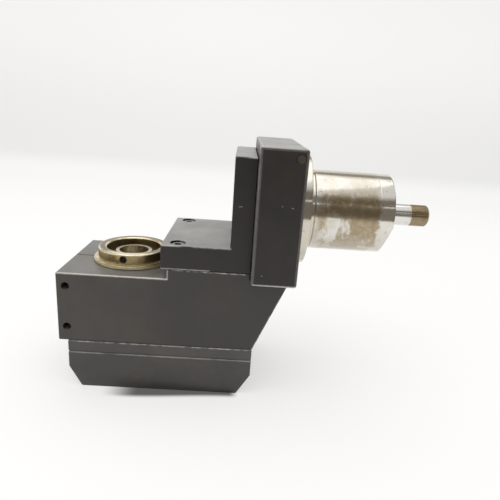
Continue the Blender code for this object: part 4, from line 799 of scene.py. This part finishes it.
def dress_bracket():
    left, right = BRACKET_BOX[0].x, BRACKET_BOX[1].x
    bottom, top = BRACKET_BOX[0].z, BRACKET_BOX[1].z
    seam_start = STEP_X + 0.030
    dark_lines = [(*level_line(seam_start, right, bottom, side), 0.0006) for side in SIDES]
    for name in ("bracket_screw_front", "bracket_screw_back"):
        low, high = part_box(name)
        well_top = Vector(((low.x + high.x) / 2, (low.y + high.y) / 2, BRACKET_FOOT_TOP))
        # Painted shade darkens each screw well.
        dark_lines.append((well_top - Vector((0.0, 0.0, 0.008)), well_top, 0.0060))
    faint = [level_line(left, BRACKET_WALL_LEFT, BRACKET_FOOT_TOP, FRONT),
             level_line(left, seam_start, bottom, FRONT),
             level_line(BRACKET_WALL_LEFT, right, top, FRONT),
             level_line(left, BRACKET_WALL_LEFT, BRACKET_FOOT_TOP, SIDES[1]),
             upright_line(BRACKET_WALL_LEFT, BRACKET_FOOT_TOP, top, SIDES[1])]
    nick = [(Vector((-0.0090, FRONT, 0.1455)), Vector((-0.0072, FRONT, 0.1458)))]
    # Dust and a painted sheen make the bracket's top light.
    dress_block("l_bracket", "bracket_block",
                blackened_steel("bracket_black", BRACKET_TONE, faint=faint, nicks=nick, grime_and_shade_lines=dark_lines, dust_and_sheen=0.88,
                                gloss=0.44, coat=0.1))


def flange_solid():
    """The flange's own block, with rounded edges in slot 1 and its screw, bolt and plug holes."""
    flange = block("flange_block", FLANGE_BOX[0], Vector((FLANGE_RIGHT, FLANGE_BOX[1].y, FLANGE_BOX[1].z)))
    flange.data.materials.append(None)
    flange.data.materials.append(None)
    edges = flange.modifiers.new("Edges", 'BEVEL')
    edges.width = FLANGE_ROUND
    edges.segments = 4
    edges.material = 1
    settled(flange)
    through = FLANGE_THICKNESS + 0.0085
    for level in ("low", "high"):
        for side in ("front", "back"):
            low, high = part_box(f"flange_screw_{level}_{side}")
            centre = (FLANGE_RIGHT, (low.y + high.y) / 2, (low.z + high.z) / 2)
            drill(flange, centre, ALONG_X, (WELL_RADIUS, -SCREW_WELL_DEPTH, OVERRUN),
                  (SCREW_HOLE_RADIUS, -through, -0.005))
    bolt_y = FLANGE_BOX[1].y - BOLT_INSET
    for height in BOLT_HEIGHTS:
        for y in (-bolt_y, bolt_y):
            drill(flange, (FLANGE_LEFT, y, FLANGE_BOX[0].z + height), ALONG_X,
                  (WELL_RADIUS, -OVERRUN, BOLT_WELL_DEPTH), (BOLT_HOLE_RADIUS, 0.006, through))
    plug = (FACE_PLUG_BOX[0] + FACE_PLUG_BOX[1]) / 2
    drill(flange, (plug.x, FLANGE_BOX[0].y, plug.z), ALONG_Y, (PLUG_HOLE[0], -OVERRUN, PLUG_HOLE[1]))
    drill(flange, (FLANGE_LEFT, 0.0, INPUT_Z), ALONG_X, (BEARING_SEAT[0], -OVERRUN, BEARING_SEAT[1]),
          (SHANK_BORE_RADIUS, 0.010, through))
    axle_low, axle_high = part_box("idler_axle")
    drill(flange, (FLANGE_LEFT, 0.0, (axle_low.z + axle_high.z) / 2), ALONG_X,
          (AXLE_HOLE[0], -OVERRUN, AXLE_HOLE[1]))
    return hardened(flange)


def shank_solid():
    """Collar and shank, turned with an undercut behind the collar, and a flat on the rim of the end."""
    start = FLANGE_THICKNESS - COLLAR_ROOT
    collar_end = FLANGE_THICKNESS + COLLAR_THICKNESS
    undercut_end = collar_end + UNDERCUT_LENGTH
    end = SHANK_END - FLANGE_LEFT
    line = end - SHANK_LINE
    profile = [(SHANK_BORE_RADIUS, start), (COLLAR_RADIUS - COLLAR_CHAMFER, start),
               (COLLAR_RADIUS, start + COLLAR_CHAMFER), (COLLAR_RADIUS, collar_end),
               (SHANK_RADIUS - UNDERCUT_DEPTH, collar_end), (SHANK_RADIUS - UNDERCUT_DEPTH, undercut_end),
               (SHANK_RADIUS, undercut_end + UNDERCUT_DEPTH), (SHANK_RADIUS, line - 0.00025),
               (SHANK_RADIUS - 0.00008, line), (SHANK_RADIUS, line + 0.00025), (SHANK_RADIUS, end),
               (SHANK_BORE_RADIUS, end)]
    shank = turned("shank_and_collar", profile, (FLANGE_LEFT, 0.0, INPUT_Z), ALONG_X, ease=0.0009)
    length, depth, turn = END_FLAT
    place = (Matrix.Translation((SHANK_END, 0.0, INPUT_Z)) @ Matrix.Rotation(turn, 4, 'X')
             @ Matrix.Translation((-length, 0.0, -SHANK_RADIUS))
             @ Matrix.Rotation(math.atan2(length, depth), 4, 'Y'))
    reach = 0.06
    corner = Vector((0.0, -reach / 2, -reach / 2))
    return hardened(cut(shank, block("cutter", corner, corner + Vector((reach, reach, reach)), place)))


def dress_flange():
    low, high = FLANGE_BOX[0], Vector((FLANGE_RIGHT, FLANGE_BOX[1].y, FLANGE_BOX[1].z))
    foot = [level_line(low.x, high.x, low.z + 0.0006, side) for side in (low.y + 0.0004, high.y - 0.0004)]
    lines = [upright_line(low.x, low.z, high.z, low.y), upright_line(low.x, low.z, high.z, high.y),
             level_line(low.x, high.x, high.z, high.y), upright_line(high.x, low.z, high.z, high.y)]
    # Painted sheen on the flange's left face, near its front and back.
    side_sheen = [(*upright_line(low.x, low.z, high.z, side), 0.0076)
                 for side in (low.y + 0.007, high.y - 0.007)]
    nicks = [level_line(0.0186, 0.0190, 0.1502, low.y), level_line(0.0253, 0.0259, 0.1495, low.y),
             level_line(0.0088, 0.0092, 0.1016, low.y)]
    shared = {"bright": foot, "faint": lines, "pale": side_sheen, "dust_and_sheen": 1.0, "gloss": 0.42,
              "faint_share": 0.5}
    faces = blackened_steel("flange_black", FLANGE_TONE, nicks=nicks, coat=0.1, flecks=0.46, **shared)
    edges = blackened_steel("flange_edges", FLANGE_TONE, edge=0.15, **shared)
    carry(flange_solid(), "housing", "blackened_steel", faces, edges, nodes=["flange_shank"])
    zone = (FLANGE_RIGHT + COLLAR_THICKNESS + 0.003, SHANK_END - SHANK_LINE, INPUT_Z - SHANK_RADIUS)
    carry(shank_solid(), "housing", "ground_steel",
          ground_steel("shank_ground", MARKS_ON_SHANK, stain=0.52, zone=zone))


# Spindle head
def ring_solid(spigot):
    """The ring nut, its spanner holes in slot 2, each with a chamfered mouth."""
    low, high = RING_BOX
    outer = (high.x - low.x) / 2
    head_bottom = high.z - RING_HEAD_HEIGHT
    chamfer_low = high.z - RING_CHAMFER
    profile = [(outer - RING_CHAMFER, high.z, 1), (outer, chamfer_low), (outer, head_bottom),
               (spigot, head_bottom), (spigot, low.z), (RING_BORE_RADIUS, low.z),
               (RING_BORE_RADIUS, chamfer_low, 1), (RING_BORE_RADIUS + RING_CHAMFER, high.z)]
    ring = turned("ring_nut_turned", profile, (SPINDLE_X, 0.0, 0.0), ALONG_Z)
    place = (SPINDLE_X, 0.0, head_bottom + HOLE_HEIGHT)
    mouth_low, mouth_high = outer - 0.0008, outer + 0.0006
    mouth = [(0.0, mouth_low), (HOLE_RADIUS - 0.0001, mouth_low), (HOLE_MOUTH_RADIUS, mouth_high),
             (0.0, mouth_high)]
    for index in range(HOLE_COUNT):
        turn = Matrix.Rotation(FIRST_HOLE_ANGLE + index * 2 * math.pi / HOLE_COUNT, 4, 'Z') @ ALONG_X
        drill(ring, place, turn, (HOLE_RADIUS, outer - HOLE_DEPTH, outer + OVERRUN), slot=2)
        cut(ring, turned("mouth", mouth, place, turn, SMALL_SEGMENTS, ease=0.0), slot=2)
    return hardened(ring)


def sleeve_solid(spigot):
    """The sleeve, with the two steps of its rim and the window that the cross shaft comes through."""
    low, high = SLEEVE_BOX
    rim = (high.x - low.x) / 2
    rim_low = high.z - SLEEVE_RIM_HEIGHT
    seat = spigot + FIT
    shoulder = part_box("upper_spindle_bearing_outer_race")[0].z - FIT
    profile = [(rim - SLEEVE_RIM_STEP, high.z), (rim - SLEEVE_RIM_STEP, high.z - SLEEVE_RIM_STEP, 1),
               (rim, high.z - SLEEVE_RIM_STEP), (rim, rim_low), (SLEEVE_RADIUS, rim_low),
               (SLEEVE_RADIUS, low.z), (SLEEVE_BORE_RADIUS, low.z), (SLEEVE_BORE_RADIUS, shoulder),
               (seat, shoulder), (seat, high.z)]
    sleeve = turned("sleeve_turned", profile, (SPINDLE_X, 0.0, 0.0), ALONG_Z)
    cross_low, cross_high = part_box("cross_shaft")
    drill(sleeve, (SPINDLE_X, 0.0, (cross_low.z + cross_high.z) / 2), ALONG_X,
          (SLEEVE_WINDOW_RADIUS, SLEEVE_BORE_RADIUS / 2, SLEEVE_RADIUS + OVERRUN))
    return hardened(sleeve)


def dress_head():
    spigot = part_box("upper_spindle_bearing_outer_race")[1].x - SPINDLE_X
    # The ring's browner right side is painted shade.
    brass = plain_metal("ring_brass_toned", (0.41, 0.330, 0.160), (0.25, 0.172, 0.080), 0.24, MARKS_ON_HEAD,
                        metallic=0.93, blotch=60.0, soft=0.07, top=(0.21, 0.186, 0.143),
                        shaded=(SPINDLE_X - 0.004, SPINDLE_X + 0.022, (0.21, 0.148, 0.080)),
                        # The cream front of the ring's top is a painted highlight.
                        front_top_highlight=(-0.0165, -0.0235, (0.86, 0.81, 0.66)))
    rubbed_or_highlit = plain_metal("ring_rubbed", (0.84, 0.77, 0.57), (0.60, 0.50, 0.31), 0.20, MARKS_ON_HEAD,
                         blotch=160.0)
    # Painted shade: the spanner holes are darkened as if in shadow.
    hole_shade = blackened_steel("ring_hole_oil", (0.048, 0.033, 0.020), dust_and_sheen=0.0, gloss=0.4, coat=0.0)
    carry(ring_solid(spigot), "housing", "brass_toned_steel", brass, rubbed_or_highlit, hole_shade, nodes=["ring_nut"])
    # Painted light: the sleeve is a lighter, less metallic copy of the ring's brass-toned steel, so that its
    # rim looks lit.
    lighter = plain_metal("sleeve_brass_toned", (0.86, 0.76, 0.50), (0.64, 0.53, 0.31), 0.22, MARKS_ON_HEAD,
                          metallic=0.6, blotch=75.0)
    carry(sleeve_solid(spigot), "housing", "brass_toned_steel", lighter, rubbed_or_highlit, nodes=["bearing_sleeve"])


def dress_spindle():
    """Spindle with its collet bore, from the nose down to the thread of its lock nut."""
    nose_top = SPINDLE_BOX[1].z
    bottom = SPINDLE_BOX[0].z
    race_low, race_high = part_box("upper_spindle_bearing_inner_race")
    nose_low = race_high.z + FIT
    seat_low = race_low.z - 0.0013
    gear_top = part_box("spindle_bevel_gear")[1].z + FIT
    thread_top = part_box("lower_spindle_bearing_inner_race")[0].z - FIT
    collet_floor = nose_top - COLLET_DEPTH
    taper = COLLET_MOUTH_RADIUS - COLLET_DEPTH * math.tan(COLLET_ANGLE)
    upper_seat, gear_seat, lower_seat, thread = 0.0122, 0.0072, 0.0057, 0.0050
    profile = [(0.0, collet_floor), (taper - 0.002, collet_floor), (taper, collet_floor + 0.0008),
               (COLLET_MOUTH_RADIUS, nose_top), (NOSE_RADIUS, nose_top), (NOSE_RADIUS, nose_low),
               (upper_seat, nose_low), (upper_seat, seat_low), (gear_seat, seat_low), (gear_seat, gear_top),
               (lower_seat, gear_top), (lower_seat, thread_top), (thread, thread_top), (thread, bottom),
               (0.0, bottom)]
    spindle = turned("spindle_turned", profile, (SPINDLE_X, 0.0, 0.0), ALONG_Z, 96, ease=0.0004)
    steel = ground_steel("spindle_ground", MARKS_ON_HEAD, stain=0.42, tone=(0.58, 0.53, 0.43), rough=0.16)
    rim = ground_steel("spindle_rim", MARKS_ON_HEAD, stain=0.30, tone=(0.58, 0.535, 0.445), rough=0.18)
    carry(spindle, "spindle", "ground_steel", steel, rim, nodes=["spindle"])


# Parts in rings: serrations, balls and knurls
def make_ring_tree():
    """Copies of one part, evenly spaced on a circle about Z, each turned to face outwards."""
    tree = bpy.data.node_groups.new("ring_of_parts", "GeometryNodeTree")
    for label, kind in (("Part", "NodeSocketObject"), ("Count", "NodeSocketInt"), ("Radius", FLOAT)):
        tree.interface.new_socket(label, in_out='INPUT', socket_type=kind)
    tree.interface.new_socket("Geometry", in_out='OUTPUT', socket_type="NodeSocketGeometry")
    given = tree.nodes.new("NodeGroupInput").outputs
    circle = add(tree, "GeometryNodeMeshCircle", {"Vertices": given["Count"], "Radius": given["Radius"]})
    part = add(tree, "GeometryNodeObjectInfo", {"Object": given["Part"]})
    position = tree.nodes.new("GeometryNodeInputPosition")
    outwards = add(tree, "FunctionNodeAlignRotationToVector", {"Vector": position.outputs[0]}, axis='X',
                   pivot_axis='Z')
    placed = add(tree, "GeometryNodeInstanceOnPoints", {"Points": circle.outputs["Mesh"],
                                                        "Instance": part.outputs["Geometry"],
                                                        "Rotation": outwards.outputs["Rotation"]})
    whole = add(tree, "GeometryNodeRealizeInstances", {0: placed.outputs["Instances"]})
    end = tree.nodes.new("NodeGroupOutput")
    fill(end.inputs["Geometry"], whole.outputs[0])
    return tree


RING_OF_PARTS = make_ring_tree()


def ring_of(part, count, radius, turn=ALONG_Z):
    """A plain mesh object of parts on a circle; the part itself is removed."""
    host = new_piece("ring_of_parts", bpy.data.meshes.new("ring_of_parts"))
    modifier = host.modifiers.new("Ring", 'NODES')
    modifier.node_group = RING_OF_PARTS
    values = {"Part": part, "Count": count, "Radius": radius}
    for item in RING_OF_PARTS.interface.items_tree:
        if item.item_type == 'SOCKET' and item.in_out == 'INPUT':
            modifier[item.identifier] = values[item.name]
    settled(host)
    host.data.transform(turn)
    bpy.data.objects.remove(part)
    return host


def dress_input_shaft():
    """The input shaft with its bearing seats, and a serrated end cut by a ring of grooves."""
    start = SHAFT_BOX[0].x
    seal_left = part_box("shaft_seal")[0].x
    bush_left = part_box("shank_bush")[0].x - FIT
    bearing_left, bearing_right = (corner.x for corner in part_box("input_bearing_inner_race"))
    ring_left, ring_right = (corner.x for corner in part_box("shaft_retaining_ring"))
    chamfer, journal, shoulder, gear_seat, groove_floor = 0.0014, 0.0097, 0.0112, 0.0080, 0.0073
    profile = [(0.0, STUB_END), (STUB_RADIUS - chamfer, STUB_END), (STUB_RADIUS, STUB_END - chamfer),
               (STUB_RADIUS, seal_left), (journal, seal_left), (journal, bush_left), (shoulder, bush_left),
               (shoulder, bearing_right + FIT), (journal, bearing_right + FIT), (journal, bearing_left),
               (gear_seat, bearing_left), (gear_seat, ring_right + FIT), (groove_floor, ring_right + FIT),
               (groove_floor, ring_left - FIT), (gear_seat, ring_left - FIT), (gear_seat, start),
               (0.0, start)]
    shaft = turned("input_shaft_turned", profile, (0.0, 0.0, INPUT_Z), ALONG_X, ease=0.0005)
    serration_start = STUB_END - SERRATION_LENGTH
    outline = [(-SERRATION_DEPTH, 0.0), (0.0004, -SERRATION_HALF_WIDTH), (0.0004, SERRATION_HALF_WIDTH)]
    groove = prism("groove", outline, 0.0, SERRATION_LENGTH + 0.001)
    grooves = ring_of(groove, SERRATION_COUNT, STUB_RADIUS,
                      Matrix.Translation((serration_start, 0.0, INPUT_Z)) @ ALONG_X)
    hardened(cut(shaft, grooves))
    steel = ground_steel("stub_ground", MARKS_ON_SHAFT, stain=0.32, rough=0.07, dull=serration_start)
    rim = ground_steel("stub_rim", MARKS_ON_SHAFT, stain=0.30, dull=serration_start)
    carry(shaft, "input_shaft", "ground_steel", steel, rim, nodes=["input_shaft"])


def dress_bearing(prefix, direction, bore, body_shaft, steel, cage_finish):
    """Races with ball grooves and a shield, and a cage with its balls, inside the CAD bearing."""
    low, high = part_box(prefix + "_outer_race")
    middle = (low + high) / 2
    along = 0 if direction is ALONG_X else 2
    width = high[along] - low[along]
    outer = max(high[axis] - low[axis] for axis in range(3) if axis != along) / 2
    wall = outer - bore
    inner_top = bore + RACE_SHARE * wall
    outer_low = outer - RACE_SHARE * wall
    pitch = (inner_top + outer_low) / 2
    ball = (outer_low - inner_top) / 2 - FIT
    half = width / 2
    dip = GROOVE_SHARES[0] * wall
    groove = ball * GROOVE_SHARES[1]
    shield = inner_top + SHIELD_GAP
    shield_in, shield_out = (half * share for share in SHIELD_SHARES)
    profile = [(outer, half), (outer, -half), (outer_low, -half), (outer_low, -groove),
               (outer_low + dip, -groove / 2), (outer_low + dip, groove / 2), (outer_low, groove),
               (outer_low, shield_in), (shield, shield_in), (shield, shield_out), (outer_low, shield_out),
               (outer_low, half)]
    race = turned(prefix + "_outer", profile, middle, direction, SMALL_SEGMENTS, ease=0.0002)
    carry(race, "housing", "bearing_steel", steel, nodes=[prefix + "_outer_race"])
    profile = [(inner_top, half), (inner_top, groove), (inner_top - dip, groove / 2),
               (inner_top - dip, -groove / 2), (inner_top, -groove), (inner_top, -half), (bore, -half),
               (bore, half)]
    race = turned(prefix + "_inner", profile, middle, direction, SMALL_SEGMENTS, ease=0.0002)
    carry(race, body_shaft, "bearing_steel", steel, nodes=[prefix + "_inner_race"])
    cage_low, cage_high = (pitch + side * CAGE_SHARES[0] * wall for side in (-1, 1))
    cage_width = CAGE_SHARES[1] * width
    profile = [(cage_high, cage_width), (cage_high, -cage_width), (cage_low, -cage_width),
               (cage_low, cage_width)]
    cage = turned("cage", profile, (0.0, 0.0, 0.0), ALONG_Z, SMALL_SEGMENTS, ease=0.0001, worn_slot=0)
    shape = bmesh.new()
    bmesh.ops.create_uvsphere(shape, u_segments=24, v_segments=16, radius=ball)
    balls = ring_of(shaped("ball", shape), BALL_COUNT, pitch, Matrix.Rotation(math.pi / BALL_COUNT, 4, 'Z'))
    caged = joined(prefix + "_balls", [cage, balls])
    caged.data.transform(Matrix.Translation(middle) @ direction)
    carry(shade(caged), prefix + "_cage", "bearing_steel", cage_finish, nodes=[prefix + "_ball_cage"])


def screw_solid(head, length, sunk):
    """A cap screw along Z, head up, its top at 0 and lowered by sunk, with knurling and a hexagon socket."""
    head_radius, head_height, shank_radius = head
    core = head_radius - KNURL_INSET
    end = -head_height - length
    profile = [(0.0, -sunk), (core, -sunk), (core, -head_height), (shank_radius, -head_height),
               (shank_radius, end + 0.0006), (shank_radius - 0.0006, end), (0.0, end)]
    screw = turned("screw", profile, (0.0, 0.0, 0.0), ALONG_Z, 48, ease=0.0005)
    key = SOCKET_SHARE * head_radius
    hexagon = [(key * math.cos(math.pi * corner / 3), key * math.sin(math.pi * corner / 3))
               for corner in range(6)]
    cut(screw, prism("key", hexagon, -sunk - SOCKET_DEPTH, -sunk + 0.001), slot=2)
    ridge = prism("ridge", [(-0.0004, -0.0003), (0.00022, 0.0), (-0.0004, 0.0003)], -head_height + 0.0003,
                  -sunk - 0.0008)
    return joined("screw", [screw, ring_of(ridge, KNURL_COUNT, core)])


def dress_screws():
    """Every cap screw in one piece, each in its CAD screw's place."""
    made = []
    names = []
    for family, (axis, side, direction, sunk, head) in CAP_SCREWS.items():
        members = sorted(name for name in NODES if name.startswith(family))
        names += members
        for name in members:
            low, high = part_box(name)
            place = (low + high) / 2
            place[axis] = high[axis] if side > 0 else low[axis]
            screw = screw_solid(head, high[axis] - low[axis] - head[1], sunk)
            screw.data.transform(Matrix.Translation(place) @ direction)
            made.append(screw)
    # Dust and a painted sheen make the tops of the screw heads light.
    black = plain_metal("screw_black", (0.030, 0.028, 0.026), (0.016, 0.015, 0.014), 0.34, metallic=0.3,
                        top=(0.62, 0.61, 0.58))
    rubbed_or_highlit = plain_metal("screw_rubbed", (0.52, 0.50, 0.46), (0.22, 0.205, 0.18), 0.28, metallic=0.8)
    # Painted shade: the hexagon sockets are darker than the screws' own black, as if in shadow.
    socket = plain_metal("socket_black", (0.012, 0.011, 0.010), (0.006, 0.006, 0.005), 0.5, metallic=0.0)
    screws = shade(joined("cap_screws", made))
    carry(screws, "housing", "black_screws", black, rubbed_or_highlit, socket, nodes=names)


def dress_bearings():
    steel = plain_metal("bearing_steel", (0.66, 0.65, 0.62), (0.52, 0.50, 0.46), 0.16)
    cage = plain_metal("cage_steel", (0.58, 0.56, 0.52), (0.44, 0.41, 0.36), 0.20)
    for prefix, (direction, bore, body_shaft) in BEARINGS.items():
        dress_bearing(prefix, direction, bore, body_shaft, steel, cage)


def paint_the_rest():
    """New materials for the CAD pieces that show as they are."""
    gear = plain_metal("gear_steel", (0.36, 0.35, 0.33), (0.22, 0.21, 0.19), 0.28)
    bronze = plain_metal("bush_bronze", (0.52, 0.33, 0.14), (0.38, 0.23, 0.09), 0.30)
    looks = {
        "idler_bush": bronze,
        "shank_bush": bronze,
        "shaft_seal": seal_rubber(),
        "idler_axle": ground_steel("axle_ground", MARKS_ON_SHAFT, stain=0.30),
        "face_plug": blackened_steel("plug_brown", (0.044, 0.033, 0.023), dust_and_sheen=0.0, gloss=0.3, coat=0.0),
    }
    for name, node in NODES.items():
        if not node.hide_render:
            node.data.materials.clear()
            node.data.materials.append(looks.get(name, gear))


# Studio
def contact_shade(place):
    """How much of the room's light the cover keeps off the floor close around it."""
    along, across, _up = place.parts()
    flat_top = COVER_BOX[0].z + 0.0008
    foot = [corner.co.x for corner in NODES["lower_cover"].data.vertices if corner.co.z < flat_top]
    left, right = min(foot), max(foot)
    front, back = COVER_BOX[0].y, COVER_BOX[1].y
    under = along.ramp(left + 0.014, left + 0.044) * along.ramp(right + 0.002, right - 0.006)
    wider = along.ramp(left + 0.030, right, 0.0050, -0.0015)
    beside = (across + wider).ramp(front - 0.0085, front - 0.0030) * across.ramp(back + 0.0085, back + 0.0030)
    return under * beside


def floor_paper():
    """Pale paper that glows where the camera or a reflection sees it, a little darker at the wall's foot as
    painted shade.
    """
    look = Look("floor_paper")
    rays = add(look.tree, "ShaderNodeLightPath").outputs
    camera_ray = Value(rays["Is Camera Ray"])
    seen = camera_ray.highest(Value(rays["Is Glossy Ray"]))
    height = look.place.parts()[2]
    shaded = contact_shade(look.place)
    level = height.ramp(0.02, 0.45, FLOOR_GLOW, WALL_GLOW) * (1.0 - shaded * 0.9)
    # Painted shade at the foot of the wall, seen by the camera only.
    foot_shade = height.ramp(0.003, 0.045, 0.0, WALL_FOOT_SHADE) * height.ramp(0.05, 0.60, 1.0, 0.30)
    level = level - foot_shade * camera_ray
    glow = add(look.tree, "ShaderNodeEmission", {"Color": (1.0, 0.995, 0.985), "Strength": seen * level})
    fill(look.shader.inputs["Base Color"], blend(shaded, PAPER, SHADED_PAPER))
    fill(look.shader.inputs["Roughness"], 0.9)
    fill(look.shader.inputs["Specular IOR Level"], 0.1)
    both = add(look.tree, "ShaderNodeAddShader", {0: look.shader.outputs[0], 1: glow.outputs[0]})
    fill(look.tree.nodes["Material Output"].inputs["Surface"], both.outputs[0])
    return look.material


def make_backdrop():
    """A pale floor that curves up behind into a wall."""
    near, far, side, bend, height, steps = -0.75, 1.5, 4.0, 0.6, 1.15, 24
    path = [(near, 0.0), (far - bend, 0.0)]
    for step in range(1, steps + 1):
        angle = math.pi / 2 * step / steps
        path.append((far - bend + bend * math.sin(angle), bend - bend * math.cos(angle)))
    path.append((far, height))
    shape = bmesh.new()
    rows = [[shape.verts.new((x, y, z)) for x in (-side, side)] for y, z in path]
    for first, second in zip(rows, rows[1:]):
        shape.faces.new((first[0], first[1], second[1], second[0]))
    floor = shaped("floor", shape)
    floor.data.shade_smooth()
    floor.data.materials.append(floor_paper())


def area_lamp(name, place, size, power):
    data = bpy.data.lights.new(name, 'AREA')
    data.shape = 'RECTANGLE'
    data.size, data.size_y = size
    data.energy = power
    lamp = bpy.data.objects.new(name, data)
    bpy.context.scene.collection.objects.link(lamp)
    aim = LAMP_AIM - Vector(place)
    lamp.matrix_world = Matrix.Translation(place) @ aim.to_track_quat('-Z', 'Y').to_matrix().to_4x4()


def make_lights():
    """A bright ceiling, a dark room in front with one long window slit, and a dim upper wall behind."""
    area_lamp("top_softbox", (-0.15, 0.05, 1.30), (2.0, 1.2), 6.0)
    area_lamp("left_softbox", (-1.3, -0.6, 0.9), (0.9, 0.9), 2.0)
    world = bpy.data.worlds.new("studio")
    bpy.context.scene.world = world
    world.use_nodes = True
    tree = world.node_tree
    _across, depth, height = Value(add(tree, "ShaderNodeTexCoord").outputs["Generated"]).parts()
    rays = add(tree, "ShaderNodeLightPath").outputs
    glossy_ray = Value(rays["Is Glossy Ray"])
    front = depth.ramp(0.05, -0.25) * glossy_ray
    slit = front * (height - WINDOW_HEIGHT).maths('ABSOLUTE').maths('LESS_THAN', WINDOW_HALF_WIDTH)
    behind = depth.ramp(0.20, 0.40) * height.ramp(0.88, 0.80) * glossy_ray
    colour = blend(front * height.ramp(0.85, 0.66), ROOM_LIGHT, ROOM_DARK)
    colour = blend(slit, colour, WINDOW_LIGHT)
    colour = blend(behind, colour, ROOM_BEHIND)
    colour = blend(Value(rays["Is Camera Ray"]), colour, SEEN_WHITE)
    background = tree.nodes["Background"]
    fill(background.inputs["Color"], colour)
    fill(background.inputs["Strength"], 1.0)


def make_camera():
    data = bpy.data.cameras.new("camera")
    data.lens = 33.20
    data.sensor_width = 36.0
    camera = bpy.data.objects.new("camera", data)
    bpy.context.scene.collection.objects.link(camera)
    turn = (Matrix.Rotation(math.radians(-1.7105), 4, 'Z') @ Matrix.Rotation(math.radians(73.0024), 4, 'X')
            @ Matrix.Rotation(math.radians(4.0544), 4, 'Z'))
    camera.matrix_world = Matrix.Translation((-0.00901, -0.34879, 0.20934)) @ turn
    bpy.context.scene.camera = camera


make_camera()
make_backdrop()
make_lights()
dress_cover_and_plate()
dress_body()
dress_bracket()
dress_flange()
dress_head()
dress_spindle()
dress_input_shaft()
dress_screws()
dress_bearings()
paint_the_rest()

bpy.context.scene.view_settings.view_transform = 'Standard'
